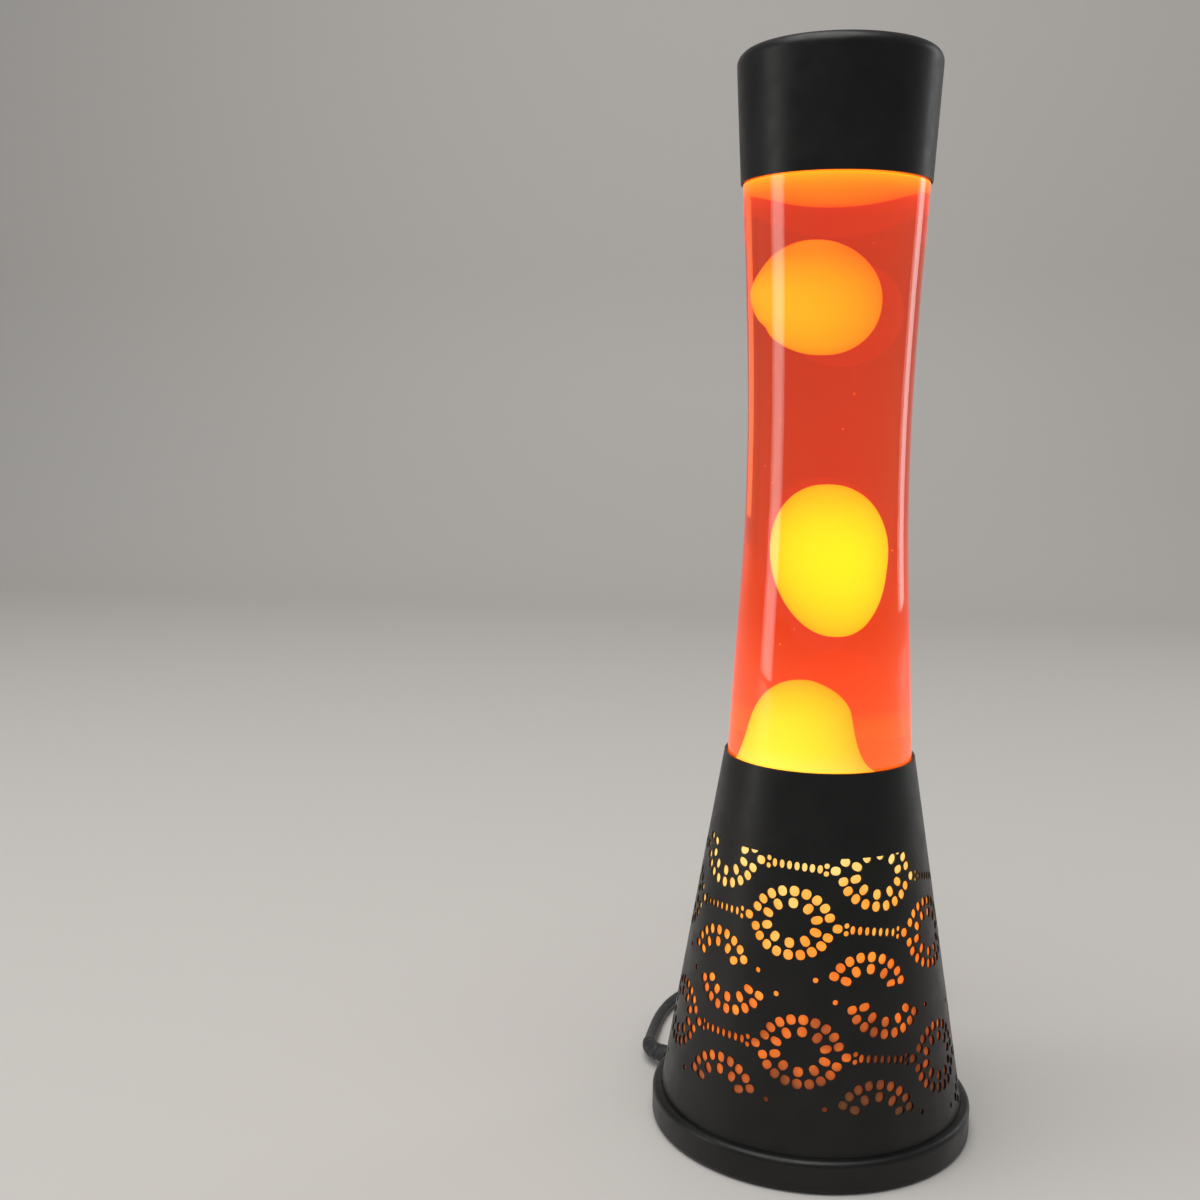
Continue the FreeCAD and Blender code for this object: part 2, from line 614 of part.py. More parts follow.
def round_sweep(spots, radius):
    """A round tube along straight runs joined by tangent arcs as large as the runs allow."""
    edges, start = [], spots[0]
    for before, corner, after in zip(spots, spots[1:], spots[2:]):
        back, on = before - corner, after - corner
        reach = 0.45 * min(back.Length, on.Length)
        turn = math.pi - back.getAngle(on)
        back.normalize()
        on.normalize()
        first, last = corner + back * reach, corner + on * reach
        bend = reach / math.tan(turn / 2)
        middle = corner + (back + on).normalize() * (bend / math.cos(turn / 2) - bend)
        edges.append(Part.LineSegment(start, first).toShape())
        edges.append(Part.Arc(first, middle, last).toShape())
        start = last
    edges.append(Part.LineSegment(start, spots[-1]).toShape())
    path = Part.Wire(edges)
    heading = (spots[1] - spots[0]).normalize()
    section = Part.Wire([Part.Circle(spots[0], heading, radius).toShape()])
    tube = path.makePipeShell([section], True, False)
    if abs(tube.Volume / (math.pi * radius ** 2 * path.Length) - 1) > 0.01:
        raise RuntimeError("a swept tube has the wrong volume")
    return tube, path.Length


def cord_tube(label, route):
    tube, length = round_sweep([Vec(*point) for point in route], d("cord_radius"))
    print("%s length %.1f" % (label, length))
    return solid(label, tube)


def gland():
    side = math.radians(d("gland_angle"))
    out = Vec(math.cos(side), math.sin(side), 0)
    centre = UP * d("gland_height")
    bush = Part.makeCylinder(d("gland_radius"), 13.0, out * 48.5 + centre, out)
    flange = Part.makeCylinder(4.2, 1.6, out * (d("foot_radius") + 0.05) + centre, out)
    boss = Part.makeCone(3.7, 3.0, 1.5, out * (d("foot_radius") + 1.6) + centre, out)
    bore = Part.makeCylinder(d("cord_radius") + 0.02, 30.0, out * 46 + centre, out)
    keep(solid("cord_gland", bush.fuse([flange, boss]).removeSplitter().cut(bore)))


def inner_wiring():
    """The cord's end inside the foot, its clamp, and the two cores up to the lamp holder."""
    side = math.radians(d("gland_angle"))
    out = Vec(math.cos(side), math.sin(side), 0)
    centre = UP * d("gland_height")
    tail = Part.makeCylinder(d("cord_radius"), 63.0 - 34.0, out * 34.0 + centre, out)
    keep(solid("cord_tail", tail))
    across = UP.cross(out)
    clamp = Part.makeBox(8.0, 18.0, 5.6, Vec(-4.0, -9.0, 0))
    clamp = clamp.cut(Part.makeCylinder(d("cord_radius") + 0.02, 8.0, Vec(-4, 0, 3.1), Vec(1, 0, 0)))
    for place in (-6.2, 6.2):
        clamp = clamp.cut(Part.makeCylinder(1.3, 5.6, Vec(0, place, 0)))
    turn = FreeCAD.Rotation(UP, d("gland_angle"))
    piece = solid("cord_clamp", clamp)
    piece.Placement = FreeCAD.Placement(out * 41.0 + UP * (d("cover_top") + 0.02), turn)
    keep(piece)
    screws = []
    for place in (-6.2, 6.2):
        spot = out * 41.0 + across * place + UP * (d("cover_top") + 5.65)
        head = Part.makeCylinder(2.4, 1.4, spot)
        shank = Part.makeCylinder(1.2, 5.5, spot - UP * 5.5)
        slot = Part.makeBox(5.2, 0.6, 0.6, spot + Vec(-2.6, -0.3, 0.9))
        screws.append(head.fuse(shank).cut(slot))
    keep(solid("clamp_screws", Part.makeCompound(screws)))
    cores = []
    for place in (-1.1, 1.1):
        spots = [out * 33.8 + across * place + centre, out * 24 + across * place + centre,
                 out * 12 + across * place + UP * 8.5, out * 3.4 + across * place + UP * 12.5,
                 out * 1.6 + across * place + UP * 19.5, out * 1.2 + across * place + UP * 29.6]
        cores.append(round_sweep(spots, 0.95)[0])
    keep(solid("supply_cores", Part.makeCompound(cores)))


def block(length, width, height, corner, radius):
    """A box whose upright edges are rounded."""
    shape = Part.makeBox(length, width, height, corner)
    upright = [edge for edge in shape.Edges if abs(edge.tangentAt(0).z) > 0.9]
    return shape.makeFillet(radius, upright)


ROCKER_TILT = 7.0


def cord_switch():
    length, width, tall, wall = (d("switch_length"), d("switch_width"), d("switch_height"),
                                 d("switch_wall"))
    middle = Vec(d("switch_x"), d("switch_y"), 0)
    corner = middle - Vec(length / 2, width / 2, 0)
    split = 8.0
    bore = Part.makeCylinder(d("cord_radius") + 0.05, length + 20, corner + Vec(-10, width / 2, split),
                             Vec(1, 0, 0))
    inner = (length - 2 * wall, width - 2 * wall)
    hollow = block(inner[0], inner[1], split - wall, corner + Vec(wall, wall, wall), 6.0)
    base = block(length, width, split - 0.03, corner, 8.0).cut(hollow)
    cover = block(length, width, tall - split, corner + UP * split, 8.0)
    hollow = block(inner[0], inner[1], tall - split - wall, corner + Vec(wall, wall, split), 6.0)
    slot = Part.makeBox(20.0, 11.8, 10.0, middle + Vec(-10.0, -5.9, tall - 6))
    cover = cover.cut(hollow).cut(slot)
    posts = []
    for side in (-1, 1):
        spot = middle + Vec(side * 20.0, side * 6.0, 0)
        base = base.fuse(Part.makeCylinder(2.8, split - wall, spot + UP * wall))
        cover = cover.fuse(Part.makeCylinder(2.8, tall - split - wall, spot + UP * (split + 0.02)))
        base = base.cut(Part.makeCylinder(2.2, 1.6, spot)).cut(Part.makeCylinder(1.35, 20, spot))
        cover = cover.cut(Part.makeCylinder(1.1, tall - split - wall - 1, spot + UP * split))
        head = Part.makeCylinder(2.1, 1.2, spot + UP * 0.35)
        shank = Part.makeCylinder(1.05, 10.5, spot + UP * 1.5)
        posts.append(head.fuse(shank))
    keep(solid("switch_base", base.cut(bore)))
    keep(solid("switch_cover", cover.cut(bore)))
    keep(solid("switch_screws", Part.makeCompound(posts)))
    profile = [(-8.8, 5.6), (0.0, 4.3), (8.8, 5.6), (8.2, -1.6), (3.0, -4.4), (-3.0, -4.4), (-8.2, -1.6)]
    corners = [Vec(across, -5.5, up) for across, up in profile]
    rocker = Part.Face(Part.makePolygon(corners + corners[:1])).extrude(Vec(0, 11.0, 0))
    rocker = rocker.makeFillet(0.5, [edge for edge in rocker.Edges if edge.BoundBox.ZMin > 4.0])
    rocker = rocker.fuse(Part.makeCylinder(1.5, 15.0, Vec(0, -7.5, 0), Vec(0, 1, 0)))
    piece = solid("switch_rocker", rocker)
    tilt = FreeCAD.Rotation(Vec(0, 1, 0), ROCKER_TILT)
    piece.Placement = FreeCAD.Placement(middle + UP * (tall - 4.0), tilt)
    keep(piece)
    contacts = []
    for side in (-1, 1):
        contacts.append(Part.makeBox(10.0, 3.0, 1.0, middle + Vec(side * 11 - 5, -7.5, 3.2)))
        contacts.append(Part.makeBox(3.0, 3.0, 2.4, middle + Vec(side * 15 - 1.5, -7.5, 4.2)))
    keep(solid("switch_contacts", Part.makeCompound([contacts[0].fuse(contacts[1]),
                                                     contacts[2].fuse(contacts[3])])))


def plug():
    thick, wide, long = d("plug_thickness"), d("plug_width"), d("plug_length")
    x, y = d("plug_x"), d("plug_y")
    outline_points = [(0, 5.0), (-4, 6.0), (-16, wide / 2 - 1.5), (-long, wide / 2),
                      (-long, -wide / 2), (-16, -wide / 2 + 1.5), (-4, -6.0), (0, -5.0)]
    corners = [Vec(x + across, y + along, 0) for across, along in outline_points]
    body = Part.Face(Part.makePolygon(corners + corners[:1])).extrude(UP * thick)
    upright = [edge for edge in body.Edges if abs(edge.tangentAt(0).z) > 0.9]
    body = body.makeFillet(1.4, upright)
    body = body.makeChamfer(0.9, [edge for edge in body.Edges if edge.BoundBox.ZLength < 0.01])
    entry = round_sweep([Vec(*point) for point in CORD_COIL_TO_PLUG], d("cord_radius") + 0.02)[0]
    pins = []
    for side in (-1, 1):
        spot = Vec(x - long + 8.0, y + side * d("plug_pin_pitch") / 2, thick / 2)
        pin = Part.makeCylinder(d("plug_pin_radius"), d("plug_pin_length") + 8.0, spot, Vec(-1, 0, 0))
        tip = [edge for edge in pin.Edges if edge.BoundBox.XMax < x - long - d("plug_pin_length") + 0.1]
        pins.append(pin.makeFillet(1.2, tip))
    keep(solid("plug_pins", Part.makeCompound(pins)))
    keep(solid("plug_body", body.cut(entry).cut(pins[0]).cut(pins[1])))


def cord():
    gland()
    inner_wiring()
    keep(cord_tube("cord_lamp_side", CORD_LAMP_TO_SWITCH))
    keep(cord_tube("cord_switch_side", CORD_SWITCH_TO_COIL))
    keep(cord_tube("cord_plug_side", CORD_COIL_TO_PLUG))
    ring = turned("cord_coil", [("coil_inner", "0"), ("coil_outer", "0"), ("coil_outer", "coil_height"),
                                ("coil_inner", "coil_height")])
    ring.Placement = at(d("coil_x"), d("coil_y"))
    keep(ring)
    cord_switch()
    plug()


# ---------------------------------------------------------------- write the pieces

def check_and_write():
    doc.recompute()
    for item in doc.Objects:
        if "Invalid" in item.State or "Error" in item.State:
            raise RuntimeError("%s failed: %s" % (item.Label, item.State))
    os.makedirs("parts", exist_ok=True)
    for item in pieces:
        if item.Shape.isNull() or not item.Shape.isValid():
            raise RuntimeError("bad shape in " + item.Label)
        item.Shape.exportStep("parts/%s.step" % item.Label)
    print(len(pieces), "pieces written")


make_sheet()
cone_base()
foot()
seat()
holder_plate()
lamp_holder()
bulb()
bottle()
contents()
closure_and_cap()
cord()
check_and_write()
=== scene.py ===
"""Looks of the wax lamp: glowing bottle, perforated black base, cord. Metres, in the CAD frame."""

import math

import bmesh
import bpy
from mathutils import Matrix, Vector, noise
from mathutils.geometry import delaunay_2d_cdt


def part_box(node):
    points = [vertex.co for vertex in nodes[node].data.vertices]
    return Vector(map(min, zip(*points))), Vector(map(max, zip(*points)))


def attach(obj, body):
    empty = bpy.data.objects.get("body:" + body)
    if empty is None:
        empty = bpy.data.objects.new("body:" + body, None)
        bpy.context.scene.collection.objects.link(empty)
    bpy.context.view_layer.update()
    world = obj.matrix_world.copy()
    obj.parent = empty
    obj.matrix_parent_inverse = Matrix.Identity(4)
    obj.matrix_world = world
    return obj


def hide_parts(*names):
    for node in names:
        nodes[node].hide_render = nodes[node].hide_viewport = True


MM = 0.001
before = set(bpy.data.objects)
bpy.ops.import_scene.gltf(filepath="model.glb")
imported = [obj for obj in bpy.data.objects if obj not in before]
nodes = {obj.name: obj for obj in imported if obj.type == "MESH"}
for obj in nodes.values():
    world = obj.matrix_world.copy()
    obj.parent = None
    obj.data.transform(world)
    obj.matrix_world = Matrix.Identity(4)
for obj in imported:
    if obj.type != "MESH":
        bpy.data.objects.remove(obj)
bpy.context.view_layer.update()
scene = bpy.context.scene


# ---------------------------------------------------------------- camera

CAMERA_PLACE = Vector((0.0, -0.5361, 0.27081))
CAMERA_YAW = 0.1548
CAMERA_PITCH = 0.13306
CAMERA_ROLL = 0.009724
CAMERA_LENS = 43.34


def make_camera():
    ahead = Vector((-math.sin(CAMERA_YAW), math.cos(CAMERA_YAW), 0))
    right = Vector((math.cos(CAMERA_YAW), math.sin(CAMERA_YAW), 0))
    up = Vector((0, 0, 1))
    aim = ahead * math.cos(CAMERA_PITCH) - up * math.sin(CAMERA_PITCH)
    crown = up * math.cos(CAMERA_PITCH) + ahead * math.sin(CAMERA_PITCH)
    side = right * math.cos(CAMERA_ROLL) + crown * math.sin(CAMERA_ROLL)
    crown = crown * math.cos(CAMERA_ROLL) - right * math.sin(CAMERA_ROLL)
    data = bpy.data.cameras.new("camera")
    data.lens = CAMERA_LENS
    data.sensor_width = 36.0
    data.clip_start = 0.01
    camera = bpy.data.objects.new("camera", data)
    turn = Matrix((side, crown, -aim)).transposed()
    camera.matrix_world = Matrix.Translation(CAMERA_PLACE) @ turn.to_4x4()
    scene.collection.objects.link(camera)
    scene.camera = camera
    scene.view_settings.view_transform = "Standard"


# ---------------------------------------------------------------- materials

COARSE_DETAIL = 2.0
MEDIUM_DETAIL = 3.0
FINE_DETAIL = 4.0


def plain(name, colour, roughness, metallic=0.0, **sockets):
    """A Principled material; sockets are given by their names with underscores."""
    mat = bpy.data.materials.new(name)
    mat.use_nodes = True
    shader = mat.node_tree.nodes["Principled BSDF"]
    shader.inputs["Base Color"].default_value = (*colour, 1.0)
    shader.inputs["Roughness"].default_value = roughness
    shader.inputs["Metallic"].default_value = metallic
    for socket, value in sockets.items():
        shader.inputs[socket.replace("_", " ")].default_value = value
    return mat


def shader_of(mat):
    return mat.node_tree.nodes["Principled BSDF"]


def object_space(mat, stretch=(1, 1, 1)):
    tree = mat.node_tree
    where = tree.nodes.new("ShaderNodeTexCoord")
    scaled = tree.nodes.new("ShaderNodeMapping")
    scaled.inputs["Scale"].default_value = stretch
    tree.links.new(where.outputs["Object"], scaled.inputs["Vector"])
    return scaled.outputs["Vector"]


def grain(mat, scale, detail, stretch=(1, 1, 1)):
    """A noise value; scale is waves per metre."""
    tree = mat.node_tree
    node = tree.nodes.new("ShaderNodeTexNoise")
    node.inputs["Scale"].default_value = scale
    node.inputs["Detail"].default_value = detail
    tree.links.new(object_space(mat, stretch), node.inputs["Vector"])
    return node.outputs["Fac"]


def remap(mat, value, low, high, start=0.3, end=0.7):
    tree = mat.node_tree
    node = tree.nodes.new("ShaderNodeMapRange")
    node.inputs["From Min"].default_value = start
    node.inputs["From Max"].default_value = end
    node.inputs["To Min"].default_value = low
    node.inputs["To Max"].default_value = high
    tree.links.new(value, node.inputs["Value"])
    return node.outputs["Result"]


def vary_roughness(mat, low, high, scale, stretch=(1, 1, 1)):
    value = remap(mat, grain(mat, scale, FINE_DETAIL, stretch), low, high)
    mat.node_tree.links.new(value, shader_of(mat).inputs["Roughness"])


def vary_colour(mat, dark, light, scale):
    tree = mat.node_tree
    mix = tree.nodes.new("ShaderNodeMix")
    mix.data_type = "RGBA"
    mix.inputs["A"].default_value = (*dark, 1.0)
    mix.inputs["B"].default_value = (*light, 1.0)
    share = remap(mat, grain(mat, scale, FINE_DETAIL), 0.0, 1.0)
    tree.links.new(share, mix.inputs["Factor"])
    tree.links.new(mix.outputs["Result"], shader_of(mat).inputs["Base Color"])


def bumps(mat, scale, height, stretch=(1, 1, 1)):
    tree = mat.node_tree
    node = tree.nodes.new("ShaderNodeBump")
    node.inputs["Strength"].default_value = 1.0
    node.inputs["Distance"].default_value = height
    tree.links.new(grain(mat, scale, COARSE_DETAIL, stretch), node.inputs["Height"])
    tree.links.new(node.outputs["Normal"], shader_of(mat).inputs["Normal"])


def height_value(mat, low, high):
    """0 at height low to 1 at height high."""
    tree = mat.node_tree
    split = tree.nodes.new("ShaderNodeSeparateXYZ")
    tree.links.new(object_space(mat), split.inputs["Vector"])
    return remap(mat, split.outputs["Z"], 0.0, 1.0, low, high)


def colour_ramp(mat, value, stops):
    tree = mat.node_tree
    ramp = tree.nodes.new("ShaderNodeValToRGB")
    points = ramp.color_ramp.elements
    for index, (place, colour) in enumerate(stops):
        point = points[index] if index < 2 else points.new(place)
        point.position = place
        point.color = (*colour, 1.0)
    tree.links.new(value, ramp.inputs["Fac"])
    return ramp.outputs["Color"]


def glow(mat, colour, strength):
    shader = shader_of(mat)
    shader.inputs["Emission Strength"].default_value = strength
    mat.node_tree.links.new(colour, shader.inputs["Emission Color"])


def dress(node, mat):
    """Puts a material in a CAD node's slots."""
    mesh = nodes[node].data
    if not mesh.materials:
        mesh.materials.append(mat)
    for index in range(len(mesh.materials)):
        mesh.materials[index] = mat


def black_lacquer():
    mat = plain("black_lacquer", (0.007, 0.0068, 0.0065), 0.36, Specular_IOR_Level=0.34)
    vary_colour(mat, (0.005, 0.0048, 0.0046), (0.010, 0.0095, 0.009), 60)
    vary_roughness(mat, 0.31, 0.44, 140)
    bumps(mat, 2600, 0.00002)
    return mat


def dark_steel():
    mat = plain("dark_steel", (0.30, 0.30, 0.31), 0.4, 1.0)
    vary_colour(mat, (0.24, 0.24, 0.25), (0.36, 0.36, 0.365), 90)
    vary_roughness(mat, 0.30, 0.52, 260, (1, 1, 6))
    bumps(mat, 1500, 0.00001, (1, 1, 8))
    return mat


def zinc():
    mat = plain("zinc", (0.58, 0.58, 0.6), 0.32, 1.0)
    vary_colour(mat, (0.48, 0.49, 0.52), (0.66, 0.65, 0.64), 420)
    vary_roughness(mat, 0.24, 0.42, 700)
    return mat


def brass():
    mat = plain("brass", (0.72, 0.50, 0.22), 0.3, 1.0)
    vary_colour(mat, (0.60, 0.40, 0.17), (0.78, 0.56, 0.27), 350)
    vary_roughness(mat, 0.2, 0.42, 500)
    return mat


def rubber():
    mat = plain("rubber", (0.018, 0.018, 0.018), 0.8)
    vary_colour(mat, (0.014, 0.014, 0.014), (0.032, 0.031, 0.030), 500)
    bumps(mat, 3000, 0.00004)
    return mat


def silicone():
    mat = plain("silicone", (0.68, 0.66, 0.62), 0.55)
    vary_colour(mat, (0.60, 0.58, 0.54), (0.72, 0.70, 0.66), 300)
    vary_roughness(mat, 0.45, 0.65, 900)
    return mat


def bakelite():
    mat = plain("bakelite", (0.016, 0.013, 0.011), 0.25)
    vary_colour(mat, (0.010, 0.008, 0.007), (0.030, 0.020, 0.014), 380)
    vary_roughness(mat, 0.18, 0.34, 600)
    bumps(mat, 1800, 0.00001)
    return mat


def moulded_black():
    mat = plain("moulded_black", (0.014, 0.014, 0.015), 0.45)
    vary_colour(mat, (0.011, 0.011, 0.012), (0.020, 0.020, 0.021), 200)
    vary_roughness(mat, 0.38, 0.54, 500)
    bumps(mat, 4200, 0.00003)
    return mat


def cord_sheath():
    mat = plain("cord_sheath", (0.013, 0.013, 0.014), 0.42)
    vary_colour(mat, (0.010, 0.010, 0.011), (0.020, 0.020, 0.020), 240)
    vary_roughness(mat, 0.34, 0.52, 350)
    bumps(mat, 1600, 0.00003)
    return mat


def clear_glass():
    mat = plain("bottle_glass", (0.985, 0.99, 0.985), 0.02, IOR=1.5, Transmission_Weight=1.0)
    low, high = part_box("glass_bottle")
    # Painted glow: orange emission on the glass stands in for the liquid's light caught in it,
    # strongest at the bottom, with a brighter band near the top.
    glow(mat, colour_ramp(mat, height_value(mat, low.z, high.z), (
        (0.0, (1.0, 0.26, 0.0)), (0.25, (0.75, 0.13, 0.0)), (0.8, (0.40, 0.07, 0.0)),
        (0.86, (0.55, 0.14, 0.0)), (1.0, (0.10, 0.02, 0.0)))), 0.07)
    return mat


def stem_glass():
    return plain("stem_glass", (0.97, 0.98, 0.97), 0.03, IOR=1.5, Transmission_Weight=1.0)


def orange_liquid():
    mat = plain("orange_liquid", (1.0, 0.93, 0.85), 0.0, IOR=1.36, Transmission_Weight=1.0)
    low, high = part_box("glass_bottle")[0].z, LIQUID_TOP * MM
    # Painted light: emission by height stands in for the bulb's light in the liquid: brightest at
    # the bottom, a sharp step down low, dark through the middle, and bright again at the surface.
    colour = colour_ramp(mat, height_value(mat, low, high), (
        (0.0, (1.0, 0.24, 0.0)), (0.155, (1.0, 0.17, 0.0)), (0.172, (0.66, 0.075, 0.0)),
        (0.3, (0.44, 0.034, 0.0)), (0.5, (0.33, 0.018, 0.0)), (0.8, (0.29, 0.017, 0.0)),
        (0.965, (0.38, 0.034, 0.0)), (1.0, (1.0, 0.20, 0.0))))
    glow(mat, colour, 0.40)
    tree = mat.node_tree
    soak = tree.nodes.new("ShaderNodeVolumeAbsorption")
    soak.inputs["Color"].default_value = (0.966, 0.45, 0.02, 1.0)
    soak.inputs["Density"].default_value = 108.0
    tree.links.new(soak.outputs["Volume"], tree.nodes["Material Output"].inputs["Volume"])
    return mat


def warm_wax(name, low, high, stops, strength):
    """Wax with painted light: its glow stands in for the bulb's light from below, and changes with
    height between low and high.
    """
    mat = plain(name, (0.95, 0.62, 0.10), 0.35)
    glow(mat, colour_ramp(mat, height_value(mat, low, high), stops), strength)
    bumps(mat, 120, 0.0002)
    return mat


def lit_liner(name):
    """Translucent liner with painted light from the bulb inside: its glow is brightest at the top,
    and more on the left lower down.
    """
    mat = plain(name, (0.30, 0.13, 0.045), 0.7)
    tree = mat.node_tree
    split = tree.nodes.new("ShaderNodeSeparateXYZ")
    tree.links.new(object_space(mat), split.inputs["Vector"])
    lean = tree.nodes.new("ShaderNodeMath")
    lean.operation = "MULTIPLY_ADD"
    lean.inputs[1].default_value = -0.25
    tree.links.new(split.outputs["X"], lean.inputs[0])
    tree.links.new(split.outputs["Z"], lean.inputs[2])
    cloud = remap(mat, grain(mat, 75, COARSE_DETAIL), -0.016, 0.016)
    total = tree.nodes.new("ShaderNodeMath")
    tree.links.new(lean.outputs["Value"], total.inputs[0])
    tree.links.new(cloud, total.inputs[1])
    value = remap(mat, total.outputs["Value"], 0.0, 1.0, 0.014, 0.118)
    glow(mat, colour_ramp(mat, value, (
        (0.0, (0.015, 0.001, 0.0)), (0.14, (0.10, 0.009, 0.001)), (0.30, (0.36, 0.050, 0.003)),
        (0.50, (0.80, 0.150, 0.008)), (0.68, (1.0, 0.30, 0.022)), (0.84, (1.0, 0.46, 0.075)),
        (1.0, (1.0, 0.66, 0.20)))), 1.15)
    return mat


def reflector_glass():
    """Bulb glass: silvered sides, frosted and lit face."""
    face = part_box("bulb_glass")[1].z
    mat = plain("reflector_glass", (0.9, 0.9, 0.9), 0.2)
    tree = mat.node_tree
    value = height_value(mat, face - 0.0135, face - 0.0115)
    tree.links.new(remap(mat, value, 1.0, 0.0, 0.4, 0.6), shader_of(mat).inputs["Metallic"])
    glow(mat, colour_ramp(mat, value, ((0.0, (0.0, 0.0, 0.0)), (1.0, (1.0, 0.62, 0.28)))), 3.0)
    vary_roughness(mat, 0.16, 0.3, 400)
    return mat


# ---------------------------------------------------------------- mesh helpers

WELD_DISTANCE = 1e-7
TURNED_STEPS = 160


def new_object(name, mesh, mat, body, replaced=()):
    piece = bpy.data.objects.new(name, mesh)
    scene.collection.objects.link(piece)
    mesh.materials.append(mat)
    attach(piece, body)
    if replaced:
        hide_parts(*replaced)
    return piece


def mesh_from(name, verts, faces):
    mesh = bpy.data.meshes.new(name)
    mesh.from_pydata(verts, [], faces)
    work = bmesh.new()
    work.from_mesh(mesh)
    bmesh.ops.remove_doubles(work, verts=work.verts, dist=WELD_DISTANCE)
    bmesh.ops.recalc_face_normals(work, faces=work.faces)
    work.to_mesh(mesh)
    work.free()
    mesh.polygons.foreach_set("use_smooth", [True] * len(mesh.polygons))
    return mesh


def lathe(name, rings, point, steps):
    """Faces between rings of points; point(ring, angle) gives each place."""
    verts, faces = [], []
    for ring in range(rings):
        for step in range(steps):
            verts.append(point(ring, 2 * math.pi * step / steps))
    for ring in range(rings - 1):
        for step in range(steps):
            here, there = ring * steps, (ring + 1) * steps
            after = (step + 1) % steps
            faces.append((here + step, here + after, there + after, there + step))
    return mesh_from(name, verts, faces)


def catmull(points, samples):
    """A smooth line through (radius, height) points."""
    line = []
    ends = [points[0]] + list(points) + [points[-1]]
    for before, start, end, after in zip(ends, ends[1:], ends[2:], ends[3:]):
        for index in range(samples):
            t = index / samples
            line.append(tuple(
                0.5 * (2 * p1 + (p2 - p0) * t + (2 * p0 - 5 * p1 + 4 * p2 - p3) * t * t
                       + (3 * p1 - p0 - 3 * p2 + p3) * t ** 3)
                for p0, p1, p2, p3 in zip(before, start, end, after)))
    return line + [points[-1]]


def turned(name, profile):
    """A closed lathe of a (radius, height) profile that starts and ends on the axis."""
    def point(ring, turn):
        radius, height = profile[ring]
        return radius * math.cos(turn), radius * math.sin(turn), height
    return lathe(name, len(profile), point, TURNED_STEPS)


# ---------------------------------------------------------------- cord

LAMP_TO_SWITCH = [
    (-57.1, 26.63, 6.4), (-61.8, 28.82, 6.35), (-65.2, 32.5, 6.0), (-66.9, 38.4, 5.0),
    (-67.4, 46.8, 3.7), (-67.3, 57.8, 2.6), (-66.8, 69.5, 2.45), (-65.1, 81.6, 2.45),
    (-61.6, 93.3, 2.45), (-56.0, 102.6, 2.9), (-48.7, 108.9, 4.2), (-40.3, 111.9, 6.2),
    (-31.0, 112.4, 7.7), (-22.0, 112.0, 8.0)]
SWITCH_TO_COIL = [
    (30.0, 112.0, 8.0), (38.5, 112.5, 7.7), (46.4, 116.4, 6.8), (51.8, 124.6, 5.0),
    (54.0, 136.0, 3.1), (52.2, 149.0, 2.45), (48.0, 159.5, 2.45)]
COIL_TO_PLUG = [
    (16.6, 213.4, 7.3), (8.0, 219.4, 7.1), (-2.4, 224.8, 6.9), (-12.0, 226.5, 6.85)]
COIL_LEAD_IN = (45.0, 167.5, 2.45)
CORD_RADIUS = 2.4
COIL_CENTRE = (6.0, 175.0)
COIL_WIDE = 38.0
COIL_NARROW = 20.6
COIL_TURNS = 7.1667
COIL_STEPS = 16
COIL_FLOOR = 2.45
COIL_RISE = 4.75
COIL_RISE_STEPS = 7
RELIEF_STEP = 0.0004
RELIEF_GROOVES = 7
GROOVE_DEPTH = 0.00035
GROOVED_SHARE = (0.12, 0.92)
GROOVE_LEVEL = -0.2
RELIEF_SIDES = 32
GLAND_RELIEF = (0.020, 0.0037, 0.0028)
PLUG_RELIEF = (0.026, 0.0041, 0.0029)
PLUG_END_X = -0.008


def coil_points():
    """Two flat spirals: inwards on the floor, then outwards on top."""
    points = []
    count = round(COIL_TURNS * COIL_STEPS)
    half = count // 2
    for index in range(1, count + 1):
        turn = 2 * math.pi * COIL_TURNS * index / count
        if index <= half:
            reach = COIL_WIDE + (COIL_NARROW - COIL_WIDE) * index / half
        else:
            reach = COIL_NARROW + (COIL_WIDE - COIL_NARROW) * (index - half) / (count - half)
        rise = min(1.0, max(0.0, (index - half) / COIL_RISE_STEPS))
        points.append((COIL_CENTRE[0] + reach * math.cos(turn),
                       COIL_CENTRE[1] + reach * math.sin(turn), COIL_FLOOR + COIL_RISE * rise))
    return points


def cord_curve(name, points, mat, replaced):
    data = bpy.data.curves.new(name, "CURVE")
    data.dimensions = "3D"
    spline = data.splines.new("NURBS")
    spline.points.add(len(points) - 1)
    for spot, point in zip(spline.points, points):
        spot.co = (point[0] * MM, point[1] * MM, point[2] * MM, 1.0)
    spline.order_u = 3
    spline.use_endpoint_u = True
    spline.resolution_u = 8
    data.bevel_depth = CORD_RADIUS * MM
    data.bevel_resolution = 5
    data.use_fill_caps = True
    data.materials.append(mat)
    piece = bpy.data.objects.new(name, data)
    scene.collection.objects.link(piece)
    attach(piece, "base")
    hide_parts(*replaced)
    return piece


def centreline(piece):
    """Points along a cord's own spline, in metres."""
    bare = piece.data.copy()
    bare.bevel_depth = 0.0
    holder = bpy.data.objects.new("bare_line", bare)
    mesh = bpy.data.meshes.new_from_object(holder)
    spots = [v.co.copy() for v in mesh.vertices]
    bpy.data.objects.remove(holder)
    bpy.data.curves.remove(bare)
    bpy.data.meshes.remove(mesh)
    return spots


def length_of(spots):
    return sum((b - a).length for a, b in zip(spots, spots[1:]))


